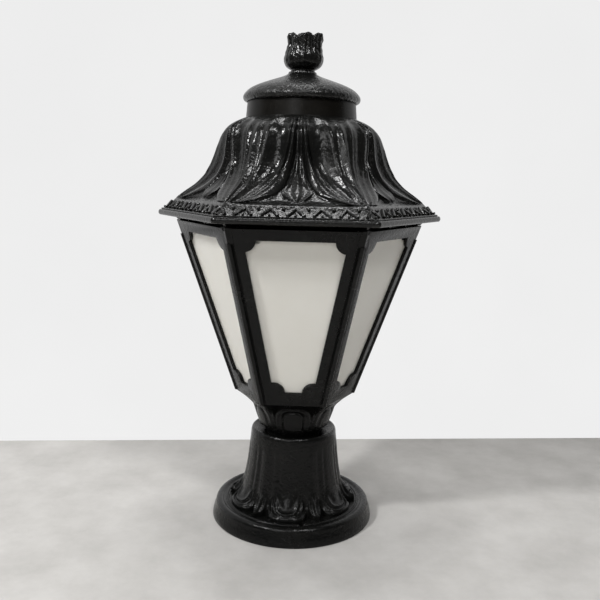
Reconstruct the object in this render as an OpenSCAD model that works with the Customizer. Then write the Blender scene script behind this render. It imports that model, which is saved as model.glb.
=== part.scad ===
// Six-sided garden lantern on a short fluted pedestal, moulded in black resin.
// The origin is the middle of the ground face of the foot, and +Z is up.

/* [Pedestal] */
// Diameter of the foot at the ground
foot_d = 132; // [128:1:140]
// Height of the rim of the foot
foot_h = 14.5; // [13:0.5:18]
// Height of the rim above the flange inside it
rim_rise = 1.4; // [0.8:0.1:2]
// Height of the bell above the rim of the foot
bell_h = 60.5; // [56:0.5:70]
// Diameter of the bell just under its mouth
bell_top_d = 70; // [66:1:76]
// Diameter of the circle that the tips of the pedestal leaves touch
leaf_tip_d = 100; // [96:1:102]
// Diameter of the circle of fixing holes
fix_pcd = 104; // [103:0.5:106]
// Diameter of a fixing hole
fix_hole_d = 5.5; // [4.5:0.1:6]
// Number of fixing holes
fix_count = 3; // [3, 6]
// Angle of the first fixing hole
fix_turn = 39.5; // [30:0.5:50]
// Angle that the moulded pattern of the pedestal is turned against the cage
bell_turn = -4; // [-10:1:10]

/* [Calyx and cage] */
// Outer diameter of the neck that plugs into the pedestal
neck_d = 44; // [40:1:48]
// Depth of the neck inside the mouth of the pedestal
neck_depth = 15; // [12:0.5:18]
// Height of the calyx above the mouth of the pedestal
calyx_gap = 3; // [2:0.5:5]
// Height of the calyx up to the corners of the cage
calyx_h = 25.5; // [23:0.5:30]
// Width of the cage across its bottom corners
cage_bottom_w = 95.6; // [92:0.2:102]
// Width of the cage across its top corners
cage_top_w = 190.5; // [186:0.5:194]
// Height of the cage
cage_h = 134; // [120:1:150]
// Width of the bar on each side of a corner of the cage
bar_w = 10.8; // [9:0.2:12]
// Height of the rail over a window
top_rail_h = 6.4; // [6:0.1:9]
// Height of the rail under a window
bottom_rail_h = 10.3; // [9:0.1:13]
// Radius of the round lobes in the corners of a window
lobe_r = 7.6; // [6:0.1:8.4]
// Radius of the bead down each corner of the cage
bead_r = 2.1; // [1.6:0.1:2.4]

/* [Walls] */
// Thickness of the black mouldings
wall = 2.8; // [2.4:0.1:3.2]
// Thickness of the opal diffuser
opal_wall = 2.2; // [1.8:0.1:2.6]
// Gap between pieces that fit one another
fit_gap = 0.3; // [0.2:0.05:0.4]

/* [Roof] */
// Width of the brim across its corners
brim_w = 220; // [216:1:228]
// Height of the open slot between cage and brim
roof_gap = 5.5; // [4:0.5:7]
// Height of the rounded lip of the brim
lip_h = 4.5; // [4:0.5:7]
// Height of the roof from the lip to its neck
roof_h = 70.5; // [66:0.5:80]
// Diameter of the flat top of the roof
roof_top_d = 87; // [85:1:90]
// Diameter of the opening in the top of the roof
roof_hole_d = 77; // [74:0.5:78]
// Depth of the ground beside the leaves
leaf_depth = 4.4; // [3:0.1:5]
// Height of the zigzag band on the brim
zigzag_rise = 1.8; // [0.6:0.1:2]
// Number of teeth in the zigzag band along one side
zigzag_teeth = 6; // [4:2:8]

/* [Skirt and top ring] */
// Distance from a top corner of the cage in to the round skirt of the roof
skirt_inset = 29.25; // [28:0.25:31]
// Distance from a top corner of the cage in to a screw of the top ring
screw_inset = 10.25; // [9.5:0.25:11]
// Depth of the skirt below the top ring
plug_depth = 4; // [2:0.5:5]
// Distance that the shoulder over the seal stands out from the skirt
shoulder_reach = 4.5; // [3.5:0.1:5]
// Thickness of the top ring
ring_t = 3; // [2.5:0.1:3.5]

/* [Chimney and cap] */
// Diameter of the collar at its foot
collar_bottom_d = 84.4; // [83.5:0.1:85]
// Diameter of the collar at its top
collar_top_d = 82.2; // [81:0.1:83]
// Height of the collar
collar_h = 12.6; // [10:0.2:16]
// Diameter of the rolled edge of the cap
cap_d = 89; // [88:0.5:94]
// Height of the cap from its edge to the finial
cap_h = 22.5; // [21:0.5:28]
// Diameter of the neck under the finial
cap_neck_d = 18.8; // [17:0.2:21]
// Height of the finial
finial_h = 26.6; // [24:0.2:32]
// Largest diameter of the finial
finial_d = 29.6; // [26:0.2:32]

/* [Lamp and wiring] */
// Outer diameter of the threaded stem tube
stem_d = 10; // [9:0.5:11]
// Bore of the stem tube
stem_bore_d = 7.2; // [6.8:0.1:7.6]
// Diameter of the lampholder
holder_d = 40; // [38:0.5:41]
// Height of the lampholder
holder_h = 42; // [40:0.5:48]
// Diameter of the lamp bulb
lamp_d = 60; // [50:1:64]
// Length of the lamp from its tip to its crown
lamp_l = 106; // [96:1:108]
// Diameter of an insulated lead
lead_d = 2.2; // [1.8:0.1:2.4]

/* [Hidden] */

// Round faces
$fn = 96;

// Colours
resin = [0.09, 0.09, 0.09];
opal = [0.88, 0.87, 0.83];
rubber = [0.16, 0.16, 0.16];
steel = [0.7, 0.71, 0.72];
brass = [0.78, 0.62, 0.3];
ceramic = [0.9, 0.9, 0.87];

// Levels, from the ground up
flange_z = foot_h - rim_rise;
mouth_z = foot_h + bell_h;
calyx_z = mouth_z + calyx_gap;
cage_z = calyx_z + calyx_h;
cage_top_z = cage_z + cage_h;
ring_z = cage_top_z - ring_t;
lip_z = cage_top_z + roof_gap;
crease_z = lip_z + lip_h;
roof_top_z = crease_z + roof_h;
collar_top_z = roof_top_z + collar_h;
seat_z = mouth_z - neck_depth;
floor_z = cage_z + wall + 0.7;

// Sizes that follow
foot_r = foot_d / 2;
side = 60;
half_side = side / 2;
across = cos(half_side);
cage_bottom_r = cage_bottom_w / 2;
cage_top_r = cage_top_w / 2;
cage_slope = (cage_top_r - cage_bottom_r) / cage_h;
brim_r = brim_w / 2;
skirt_r = cage_top_r - skirt_inset;
screw_r = cage_top_r - screw_inset;
stem_r = stem_d / 2;
collar_r = collar_top_d / 2;
plug_r = roof_hole_d / 2 - fit_gap;

function lerp(a, b, t) = a + (b - a) * t;
function clamp(t) = max(0, min(1, t));
function ease(t) = clamp(t) * clamp(t) * (3 - 2 * clamp(t));
// A hump of height 1 at c that falls to nothing w away from it
function hump(x, c, w) = abs(x - c) < w ? (1 + cos(180 * (x - c) / w)) / 2 : 0;
// The angle a brought to the nearest of n equal parts of a turn
function fold(a, n) = let (part = 360 / n) abs(a - part * round(a / part));
// The share of a hexagon's corner radius that is left at an angle a from a corner
function hexagon(a) = across / cos(half_side - fold(a, 6));
// The value at x on a line through the points [x, y] of a list, by a smooth curve
function tangent(list, i) = let (
        a = list[max(i - 1, 0)],
        b = list[min(i + 1, len(list) - 1)]
    ) (b[1] - a[1]) / (b[0] - a[0]);
function piece(list, x, i = 0) = i >= len(list) - 2 || x <= list[i + 1][0] ? i : piece(list, x, i + 1);
function curve(list, x) = let (
        i = piece(list, x),
        w = list[i + 1][0] - list[i][0],
        t = clamp((x - list[i][0]) / w),
        m0 = tangent(list, i) * w,
        m1 = tangent(list, i + 1) * w
    ) (2 * t * t * t - 3 * t * t + 1) * list[i][1] + (t * t * t - 2 * t * t + t) * m0
    + (3 * t * t - 2 * t * t * t) * list[i + 1][1] + (t * t * t - t * t) * m1;
function polar(r, a, z) = [r * cos(a), r * sin(a), z];

// A pattern repeats at each corner of a hexagon. Columns run from 0 at a corner to 1 at the
// middle of a side, and these give their angles and depths all the way round.
function all_round(columns) = let (last = len(columns) - 1) [
        for (k = [0:5])
            each concat(
                [for (i = [0:last - 1]) side * k + half_side * columns[i]],
                [for (i = [last:-1:1]) side * (k + 1) - half_side * columns[i]]
            )
    ];
function round_depths(depths) = let (last = len(depths) - 1) [
        for (k = [0:5]) each concat([for (i = [0:last - 1]) depths[i]], [for (i = [last:-1:1]) depths[i]])
    ];
// A row of points at a height z, as far below the radii as the depths say
function carved_row(radii, columns, depths, z) = let (a = all_round(columns), r = round_depths(radii), d = round_depths(depths))
    [for (j = [0:len(a) - 1]) polar(r[j] - d[j], a[j], z)];

// A closed skin through rows of points, each row going once round the axis.
// With ring = true the last row joins the first, and otherwise both ends get a flat lid.
module skin(rows, ring = false) {
    n = len(rows);
    m = len(rows[0]);
    last = ring ? n - 1 : n - 2;
    polyhedron(
        points = [for (row = rows) each row],
        faces = [
            for (i = [0:last], j = [0:m - 1])
                let (
                    a = i * m + j,
                    b = i * m + (j + 1) % m,
                    c = ((i + 1) % n) * m + (j + 1) % m,
                    d = ((i + 1) % n) * m + j
                )
                each [[a, c, b], [a, d, c]],
            if (!ring) [for (j = [0:m - 1]) j],
            if (!ring) [for (j = [m - 1:-1:0]) (n - 1) * m + j]
        ],
        convexity = 8
    );
}

// A round tube along a list of points
module swept_tube(route, r, sides = 6) {
    n = len(route);
    function way(i) = let (d = route[min(i + 1, n - 1)] - route[max(i - 1, 0)]) d / norm(d);
    rows = [
        for (i = [0:n - 1])
            let (
                d = way(i),
                u = cross(d, abs(d[1]) < 0.9 ? [0, 1, 0] : [1, 0, 0]),
                v = cross(d, u / norm(u))
            )
            [for (j = [0:sides - 1]) route[i] + r * (cos(360 * j / sides) * u / norm(u) + sin(360 * j / sides) * v)]
    ];
    skin(rows);
}

module tube(outer, inner, h) {
    difference() {
        cylinder(r = outer, h = h);
        translate([0, 0, -1]) cylinder(r = inner, h = h + 2);
    }
}

module round_about(n, first = 0) {
    for (i = [0:n - 1]) rotate(first + i * 360 / n) children();
}

// Pedestal

bell_mouth_r = bell_top_d / 2 - 4.5;
bell_foot_z = flange_z - wall / 2;
// Height share up the bell against the radius share from mouth to leaf tips
bell_outline = [
    [0, 0.94], [0.06, 0.74], [0.12, 0.58], [0.2, 0.42], [0.32, 0.27],
    [0.48, 0.145], [0.64, 0.065], [0.8, 0.015], [0.9, -0.02], [0.955, -0.1], [0.985, -0.19], [1, -0.3]
];
bell_rows = [0, 0.035, 0.075, 0.13, 0.21, 0.32, 0.46, 0.62, 0.78, 0.9, 0.96, 1];

function bell_share(z) = (z - flange_z) / (mouth_z - flange_z);
function bell_r(z) = bell_top_d / 2 + (leaf_tip_d - bell_top_d) / 2 * curve(bell_outline, bell_share(z));
// A narrow dart at each corner, a recess beside it, then half of a broad tongue with a rolled edge
bell_columns = [0, 0.14, 0.35, 0.47, 0.58, 0.78, 1];
function bell_depths(t) = let (
        foot = ease((0.2 - t) / 0.16),
        flute = ease((0.88 - t) / 0.2),
        low = [0, 1.5, 5, 1.2, -1, 0.4, -0.8],
        high = [0, 0.9, 1.5, 0.5, -0.1, 0.4, 0.1]
    ) [for (i = [0:len(low) - 1]) flute * lerp(high[i], low[i], foot)];

module bell() {
    function bell_row(r, z) = [for (a = all_round(bell_columns)) polar(r, a, z)];
    rows = concat(
        [
            for (t = bell_rows)
                let (z = lerp(bell_foot_z, mouth_z, t))
                carved_row([for (c = bell_columns) bell_r(z)], bell_columns, bell_depths(max(0, bell_share(z))), z)
        ],
        [
            bell_row(bell_mouth_r - 1.2, mouth_z - 1.4),
            bell_row(neck_d / 2 + fit_gap, mouth_z - 6),
            bell_row(neck_d / 2 + fit_gap, seat_z),
            bell_row(stem_r + fit_gap, seat_z),
            bell_row(stem_r + fit_gap, seat_z - wall),
            bell_row(bell_r(seat_z - wall) - wall - 1.6, seat_z - wall)
        ],
        [
            for (t = [0.35, 0.7, 1])
                let (z = lerp(seat_z - wall, bell_foot_z, t)) bell_row(bell_r(z) - wall - 1.6 - 2 * t * t, z)
        ]
    );
    skin(rows, ring = true);
}

module foot() {
    rim_w = 5;
    inner_r = bell_r(bell_foot_z) - wall - 4;
    rotate_extrude()
        polygon([
            [foot_r - wall, 0], [foot_r, 0], [foot_r, 2.5], [foot_r - 0.5, 6], [foot_r - 1.5, 9],
            for (k = [0:5]) [foot_r - 5 + 3.2 * cos(k * 18), foot_h - 3.2 + 3.2 * sin(k * 18)],
            [foot_r - rim_w - 3.4, foot_h], [foot_r - rim_w - 4.6, foot_h - 0.5], [foot_r - rim_w - 5.2, flange_z],
            [inner_r, flange_z], [inner_r, flange_z - wall], [foot_r - wall - 3.5, flange_z - wall],
            [foot_r - wall - 0.6, flange_z - wall - 2.5]
        ]);
}

module pedestal() {
    color(resin)
    difference() {
        union() {
            foot();
            rotate(bell_turn) bell();
        }
        round_about(fix_count, fix_turn)
            translate([fix_pcd / 2, 0, flange_z - wall - 1]) cylinder(d = fix_hole_d, h = wall + rim_rise + 6);
        // Pilot hole for the screw of the terminal block
        translate([block_screw_x, 0, block_top_z - 1]) cylinder(r = 1.4, h = wall);
    }
}

// Stem

nut_h = 4;
washer_t = 1.5;
stem_low_z = seat_z - wall - washer_t - nut_h - 4;
stem_top_z = floor_z + washer_t + nut_h + 5;

module stem_tube() {
    color(steel) translate([0, 0, stem_low_z]) tube(stem_r, stem_bore_d / 2, stem_top_z - stem_low_z);
}

module stem_washer() {
    tube(stem_r + 4.5, stem_r + fit_gap, washer_t);
}

module stem_nut() {
    difference() {
        cylinder(r = stem_r * 1.75, h = nut_h, $fn = 6);
        translate([0, 0, -1]) cylinder(r = stem_r + fit_gap / 3, h = nut_h + 2);
    }
}

module lower_washer() {
    color(steel) translate([0, 0, seat_z - wall - washer_t]) stem_washer();
}

module lower_nut() {
    color(steel) translate([0, 0, seat_z - wall - washer_t - nut_h]) stem_nut();
}

module upper_washer() {
    color(steel) translate([0, 0, floor_z]) stem_washer();
}

module upper_nut() {
    color(steel) translate([0, 0, floor_z + washer_t]) stem_nut();
}

// Cage

neck_r = neck_d / 2;
calyx_bottom_r = neck_r + 5.6;
calyx_waist_r = calyx_bottom_r + 5.2;
// Height share up the calyx against the radius share at its ribs, from bottom to cage corner
rib_outline = [
    [0, 0], [0.2, 0.1], [0.4, 0.19], [0.56, 0.27], [0.66, 0.37], [0.76, 0.53], [0.88, 0.73], [1, 0.93]
];
// The same at the middle of a side
side_outline = [
    [0, 0], [0.2, 0.07], [0.4, 0.14], [0.56, 0.2], [0.66, 0.24], [0.76, 0.3], [0.88, 0.48], [1, 0.64]
];
pad_h = 2.2;

function cage_r(z) = cage_bottom_r + (z - cage_z) * cage_slope;
// A rib at each corner, then half of a tongue with a double arch, which narrows to its top
arch_top = 0.8;
function arch_w(t) = sqrt(max(0.05, 1 - pow(t / arch_top, 3)));
function calyx_columns(t) = let (w = arch_w(t))
    [0, 1 - 0.97 * w, 1 - 0.91 * w, 1 - 0.82 * w, 1 - 0.62 * w, 1 - 0.54 * w, 1 - 0.44 * w, 1];
function calyx_depths(t) = let (arch = ease((0.86 - t) / 0.12), rib = ease(t / 0.1))
    [-0.4 * rib, arch * 0.2, arch * 1.2, -arch * 0.1, -arch * 0.1, arch * 0.9, -arch * 0.3, -arch * 0.5];
function calyx_r(x, t) = lerp(
        calyx_bottom_r + (cage_bottom_r - calyx_bottom_r) * curve(rib_outline, t),
        calyx_bottom_r + (cage_bottom_r - calyx_bottom_r) * curve(side_outline, t),
        ease(1.5 * x)
    );

// Its top row stands inside the floor of the cage, and its inside in the wall of the neck
module calyx() {
    function round_row(h) = [
        for (a = all_round(calyx_columns(0))) polar(neck_r - wall / 2, a, lerp(calyx_z, cage_z, h))
    ];
    top = 1.05;
    skin(concat(
        [round_row(0)],
        [
            for (h = [0, 0.13, 0.28, 0.43, 0.57, 0.69, 0.79, 0.88, 1, top])
                let (t = min(h, 1), columns = calyx_columns(t))
                carved_row([for (x = columns) calyx_r(x, t)], columns, calyx_depths(t), lerp(calyx_z, cage_z, h))
        ],
        [round_row(top)]
    ), ring = true);
}

// The outside of the cage, or its inside when inset is the wall
module cage_form(inset, low, high) {
    translate([0, 0, low])
        cylinder(r1 = cage_r(low) - inset / across, r2 = cage_r(high) - inset / across, h = high - low, $fn = 6);
}

// Outline of a window, drawn on its side with x across and y up the slope
module window_outline() {
    slope = norm([1, cage_slope * across]);
    low = bottom_rail_h * slope;
    high = (cage_h - top_rail_h) * slope;
    rise = cage_slope / slope / 2;
    function half_w(y) = cage_bottom_r / 2 + y * rise - bar_w;
    difference() {
        polygon([[-half_w(low), low], [half_w(low), low], [half_w(high), high], [-half_w(high), high]]);
        for (s = [-1, 1]) {
            translate([s * half_w(low), low]) circle(r = lobe_r, $fn = 48);
            translate([s * half_w(high), high]) circle(r = lobe_r, $fn = 48);
        }
    }
}

// Puts its children on the slope of the side whose outward direction is +X
module on_side() {
    lean = atan(cage_slope * across);
    translate([cage_bottom_r * across, 0, cage_z]) rotate([0, lean, 0]) rotate([90, 0, 90]) children();
}

// Two grooves down each corner of the cage, one on each face, beside its bead
module corner_grooves() {
    lean = atan(cage_slope);
    length = (cage_h - top_rail_h - 2) / cos(lean);
    round_about(6)
        for (s = [-1, 1])
            translate([cage_bottom_r - bead_r * 0.8, s * bead_r * 1.4, cage_z]) rotate([0, lean, 0])
                cylinder(r = bead_r * 0.56, h = length, $fn = 24);
}

// A rod down each corner of the cage
module corner_rods(r, out) {
    lean = atan(cage_slope);
    length = (cage_h - top_rail_h + 1) / cos(lean);
    round_about(6)
        translate([cage_bottom_r + out, 0, cage_z]) rotate([0, lean, 0])
            translate([0, 0, -r]) cylinder(r = r, h = length + r, $fn = 24);
}

gusset_h = 5.2;
gusset_w = 40;
gusset_reach = 6;
pad_reach = 4.5;

module cage() {
    color(resin)
    difference() {
        union() {
            difference() {
                cage_form(0, cage_z, cage_top_z);
                cage_form(wall, floor_z, cage_top_z + 1);
                round_about(6, half_side) on_side()
                    translate([0, 0, -3 * wall]) linear_extrude(6 * wall) window_outline();
                corner_grooves();
            }
            intersection() {
                corner_rods(bead_r, -bead_r * 0.5);
                translate([0, 0, cage_z]) cylinder(r = cage_top_w, h = cage_h);
            }
            // Gussets in three top corners, which take the screws of the top ring
            intersection() {
                cage_form(wall / 2, ring_z - gusset_h, ring_z);
                round_about(3)
                    translate([screw_r - gusset_reach, -gusset_w / 2, ring_z - gusset_h]) cube([gusset_w / 2, gusset_w, gusset_h]);
            }
            // Pads under the corners of the roof
            intersection() {
                difference() {
                    cage_form(0.4, cage_top_z - 1, cage_top_z + pad_h);
                    cage_form(wall, cage_top_z - 2, cage_top_z + pad_h + 1);
                }
                round_about(6)
                    translate([cage_top_r - pad_reach, -gusset_w / 2, cage_top_z - 1]) cube([gusset_w / 2, gusset_w, pad_h + 1]);
            }
            calyx();
            translate([0, 0, seat_z]) cylinder(r = neck_r, h = calyx_z - seat_z + 3);
        }
        // The hollow up through the neck and the calyx
        rotate_extrude()
            polygon([
                [0, seat_z - 1], [neck_d / 2 - wall, seat_z - 1], [neck_d / 2 - wall, calyx_z],
                [calyx_waist_r - wall - 1.6, lerp(calyx_z, cage_z, 0.55)],
                [calyx_waist_r - wall - 1.6, floor_z - wall], [0, floor_z - wall]
            ]);
        translate([0, 0, floor_z - wall - 1]) cylinder(r = stem_r + fit_gap, h = wall + 2);
        round_about(3) translate([screw_r, 0, ring_z - gusset_h - 1]) cylinder(r = 1.3, h = gusset_h + 2, $fn = 24);
    }
}

// Diffuser

diffuser_top_z = ring_z - fit_gap;
holder_hole_r = holder_d / 2 + 1.2;

module diffuser() {
    inset = wall + fit_gap;
    color(opal)
    difference() {
        cage_form(inset, floor_z, diffuser_top_z);
        cage_form(inset + opal_wall, floor_z + opal_wall, diffuser_top_z + 1);
        translate([0, 0, floor_z - 1]) cylinder(r = holder_hole_r, h = opal_wall + 2);
        // Notches that let the gussets of the cage through
        round_about(3)
            translate([screw_r - gusset_reach - fit_gap, -gusset_w / 2, ring_z - gusset_h - fit_gap])
                cube([gusset_w, gusset_w, gusset_h + 2]);
    }
}

// Top ring and seal

seal_h = 1.6;

module top_ring() {
    color(resin)
    difference() {
        translate([0, 0, ring_z])
            cylinder(r = cage_r(ring_z) - (wall + fit_gap) / across, h = ring_t, $fn = 6);
        translate([0, 0, ring_z - 1]) cylinder(r = skirt_r + fit_gap, h = ring_t + 2);
        round_about(3) translate([screw_r, 0, ring_z - 1]) cylinder(r = 1.7, h = ring_t + 2, $fn = 24);
    }
}

module ring_screws() {
    length = ring_t + gusset_h - 0.6;
    color(steel)
    round_about(3) translate([screw_r, 0, cage_top_z]) {
        difference() {
            cylinder(r = 2.7, h = 1.6, $fn = 32);
            translate([0, 0, 0.8]) rotate(45) {
                translate([-0.4, -1.6, 0]) cube([0.8, 3.2, 1]);
                translate([-1.6, -0.4, 0]) cube([3.2, 0.8, 1]);
            }
        }
        translate([0, 0, -length]) cylinder(r = 1.2, h = length, $fn = 24);
    }
}

module roof_seal() {
    color(rubber)
    translate([0, 0, cage_top_z + fit_gap]) tube(skirt_r + shoulder_reach - 0.2, skirt_r + fit_gap, seal_h);
}

// Roof

// Height share up the roof from its crease to its top, against the radius share from roof top
// to the corner of the crease
corner_outline = [
    [0, 1], [0.06, 0.91], [0.12, 0.83], [0.145, 0.805], [0.2, 0.74], [0.28, 0.625], [0.33, 0.565],
    [0.39, 0.5], [0.44, 0.465], [0.5, 0.425], [0.56, 0.395], [0.62, 0.37], [0.68, 0.35],
    [0.74, 0.325], [0.8, 0.302], [0.85, 0.272], [0.895, 0.23], [0.93, 0.18], [0.96, 0.12], [0.985, 0.055], [1, 0]
];
// The height shares that get a row of points: lip to zigzag band, then the leaves
band_rows = [0, 0.016, 0.08, 0.09];
leaf_rows = [
    0.12, 0.14, 0.17, 0.2, 0.24, 0.285, 0.34, 0.41, 0.49, 0.58, 0.67, 0.76, 0.84, 0.895, 0.94, 0.975, 1
];
crease_r = brim_r - 3;

// A leaf stands over each corner. Across half of it, x runs from its spine at 0 to the middle
// of the side at 1. These are the places of its side rib, its rolled border and its edge.
function rib_x(t) = curve([[0.12, 0.035], [0.2, 0.065], [0.36, 0.14], [0.55, 0.2], [0.8, 0.27], [1, 0.33]], t);
function border_x(t) = curve([[0.12, 0.1], [0.16, 0.25], [0.19, 0.35], [0.23, 0.43], [0.29, 0.53], [0.4, 0.65], [0.56, 0.76], [0.76, 0.85], [1, 0.88]], t);
function edge_x(t) = curve([[0.12, 0.14], [0.145, 0.3], [0.16, 0.42], [0.19, 0.53], [0.22, 0.62], [0.27, 0.7], [0.34, 0.77], [0.4, 0.81], [0.52, 0.87], [0.63, 0.91], [1, 0.945]], t);
// Half the width of the dart between two leaves
function dart_w(t) = curve([[0.12, 0.03], [0.15, 0.08], [0.19, 0.17], [0.24, 0.27], [0.31, 0.2], [0.37, 0.14], [0.44, 0.09], [0.52, 0.06], [0.65, 0.035], [1, 0.03]], t);

// Columns of points across half a leaf, and how far they lie below its outline at a height share
function leaf_columns(t) = let (r = rib_x(t), b = border_x(t), e = edge_x(t), d = 1 - dart_w(t)) [
        0, r * 0.5, r, lerp(r, b, 0.22), lerp(r, b, 0.55), lerp(r, b, 0.82), b, e, lerp(e, d, 0.4), d, 1
    ];
function leaf_depths(t) = let (
        k = ease((t - 0.1) / 0.06) * ease((1.01 - t) / 0.09),
        g = leaf_depth,
        dart = ease((t - 0.12) / 0.06) * ease((0.62 - t) / 0.16)
    ) k * [0, 1.4, 0.3, 2, 3.5, 1.6, -0.3, 1.2, g, lerp(g, 1.8, dart), lerp(g * 0.9, 2.8, dart)];
// The band's columns stand on the tips and the feet of its teeth
band_columns = [for (u = [12, 11, 10, 9, 8, 6, 5, 4, 2, 1, 0]) 1 - atan(u / 12 * tan(half_side)) / half_side];
function tooth(x) = abs(((tan((1 - x) * half_side) / tan(half_side) * zigzag_teeth) % 2) - 1);
function band_depths(t) = [for (x = band_columns) t == 0.016 ? -zigzag_rise : t == 0.08 ? -zigzag_rise * tooth(x) : 0];

// How far the roof follows the hexagon of the brim, from a round top
function squareness(t) = ease((1.02 - t) / 0.62);
function roof_base(a, t) = let (
        corner = roof_top_d / 2 + (crease_r - roof_top_d / 2) * curve(corner_outline, t)
    ) corner * lerp(1, hexagon(a), squareness(t));
function outer_row(columns, depths, t) =
    carved_row([for (x = columns) roof_base(half_side * x, t)], columns, depths, lerp(crease_z, roof_top_z, t));

module roof_shell() {
    angles = all_round(band_columns);
    function round_row(r, z) = [for (a = angles) polar(r, a, z)];
    function six_row(r, z) = [for (a = angles) polar(r * hexagon(a), a, z)];
    rows = concat(
        [
            six_row(crease_r - 3.2, crease_z - 2.4),
            six_row(brim_r - 3.6, lip_z),
            six_row(brim_r - 1, lip_z),
            six_row(brim_r, lip_z + 1.2),
            six_row(brim_r, crease_z - 2.2),
            six_row(brim_r - 1.2, crease_z - 0.5)
        ],
        [for (t = band_rows) outer_row(band_columns, band_depths(t), t)],
        [for (t = leaf_rows) outer_row(leaf_columns(t), leaf_depths(t), t)],
        [
            round_row(roof_hole_d / 2, roof_top_z),
            round_row(roof_hole_d / 2, roof_top_z - wall - 3),
            round_row(roof_hole_d / 2 + 1.5, roof_top_z - wall - 3.6)
        ],
        [for (t = [0.9, 0.7, 0.45, 0.3, 0.2, 0.1]) [for (a = angles) polar(inner_r(a, t), a, inner_z(t))]]
    );
    skin(rows, ring = true);
}

skirt_low_z = ring_z - plug_depth;
skirt_top_share = 0.27;
skirt_high_z = lerp(crease_z, roof_top_z, skirt_top_share);
shoulder_z = cage_top_z + seal_h + 2 * fit_gap;

// The inside of the roof, from its axis, at an angle and a share of its height
function inner_r(a, t) = roof_base(a, t) - wall - leaf_depth * ease((t - 0.05) / 0.12);
function inner_z(t) = lerp(crease_z, roof_top_z, t) - 1.6;

module skirt() {
    translate([0, 0, skirt_low_z]) tube(skirt_r, skirt_r - wall, skirt_high_z - skirt_low_z);
    translate([0, 0, shoulder_z]) tube(skirt_r + shoulder_reach, skirt_r - 1, 2.4);
    // Ribs that carry the skirt from the corners of the roof and rest over the pads of the cage
    round_about(6)
        rotate([90, 0, 0]) translate([0, 0, -1]) linear_extrude(2)
            polygon([
                [skirt_r - 1, shoulder_z + 1.2], [cage_top_r - 6, cage_top_z + pad_h + fit_gap],
                [cage_top_r - 0.6, cage_top_z + pad_h + fit_gap],
                for (t = [0.1, 0.2, 0.28]) [inner_r(0, t) + wall * 0.4, inner_z(t)],
                [skirt_r - 1, skirt_high_z - 2]
            ]);
}

module roof() {
    color(resin)
    union() {
        roof_shell();
        skirt();
    }
}

// Chimney collar, cap and finial

hub_r = 7;
thread_gap = 0.1;
stud_r = 2.5;
spider_z = roof_top_z + 2;
spider_t = 3;
cap_seal_t = 1;
cap_z = collar_top_z + cap_seal_t;
spigot_l = 4;

module chimney_collar() {
    inner_r = plug_r - wall;
    color(resin)
    difference() {
        union() {
            rotate_extrude()
                polygon([
                    [inner_r, roof_top_z - wall - 5.4], [plug_r - 0.8, roof_top_z - wall - 5.4],
                    [plug_r, roof_top_z - wall - 4.4], [plug_r, roof_top_z],
                    [collar_bottom_d / 2, roof_top_z], [collar_r, collar_top_z], [inner_r, collar_top_z]
                ]);
            round_about(3, half_side)
                translate([hub_r - 1, -2, spider_z]) cube([inner_r - hub_r + 2, 4, spider_t]);
            translate([0, 0, spider_z]) cylinder(r = hub_r, h = spider_t);
            // Hooks that snap under the edge of the opening in the roof
            round_about(3)
                translate([plug_r - 1, -4, roof_top_z - wall - 5.4]) cube([2.2, 8, 1.4]);
        }
        translate([0, 0, spider_z - 1]) cylinder(r = stud_r + fit_gap, h = spider_t + 2);
    }
}

module cap_seal() {
    color(rubber)
    translate([0, 0, collar_top_z]) tube(collar_r - 0.4, plug_r - wall + 0.8, cap_seal_t);
}

// Height share of the cap against the radius share of its edge
cap_outline = [
    [0, 0.965], [0.05, 0.99], [0.13, 1], [0.21, 0.995], [0.3, 0.97], [0.38, 0.93], [0.46, 0.865], [0.54, 0.775],
    [0.63, 0.6], [0.71, 0.44], [0.78, 0.315], [0.83, 0.25], [0.88, 0.218], [0.94, 0.205]
];
cap_low_z = cap_z - cap_h * 0.08;

module cap() {
    top_z = cap_low_z + cap_h;
    neck_r = cap_neck_d / 2;
    color(resin)
    difference() {
        rotate_extrude()
            polygon([
                [0, top_z], [neck_r, top_z],
                for (i = [len(cap_outline) - 1:-1:0])
                    [max(neck_r * 0.97, cap_outline[i][1] * cap_d / 2), cap_low_z + cap_outline[i][0] * cap_h],
                [collar_r + 0.5, cap_low_z], [collar_r + 0.5, cap_z], [plug_r - wall - fit_gap, cap_z],
                [plug_r - wall - fit_gap, cap_z - spigot_l], [plug_r - 2 * wall, cap_z - spigot_l],
                [plug_r - 2 * wall, cap_z + cap_h * 0.18], [plug_r * 0.5, cap_z + cap_h * 0.4],
                [hub_r, cap_z + cap_h * 0.49], [hub_r, spider_z + spider_t], [0, spider_z + spider_t]
            ]);
        translate([0, 0, spider_z]) cylinder(r = stud_r + 0.1, h = cap_h + collar_h);
    }
}

finial_washer_t = 1;
finial_z = cap_low_z + cap_h + finial_washer_t + 2 * fit_gap;
finial_top_z = finial_z + finial_h;
finial_samples = 36;
// Height share of the tulip against the radius share of its bulb
finial_outline = [
    [0, 0.55], [0.04, 0.72], [0.1, 0.88], [0.18, 0.97], [0.27, 1], [0.36, 0.97], [0.46, 0.9], [0.58, 0.85],
    [0.7, 0.85], [0.82, 0.9], [0.92, 0.9], [1, 0.72]
];

function finial_r(a, t) = let (
        x = fold(a - half_side, 6) / half_side,
        groove = hump(x, 1, 0.5) * (0.6 + 1.3 * ease((t - 0.4) / 0.5)),
        keel = hump(x, 0, 0.35) * 0.5
    ) finial_d / 2 * curve(finial_outline, t) + ease(t / 0.12) * (keel - groove);
// The tips of the six petals stand up, and the edge dips between them
function finial_rise(a, t) = t * finial_h - ease((t - 0.62) / 0.38) * 3.4 * ease(fold(a - half_side, 6) / half_side);

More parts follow.
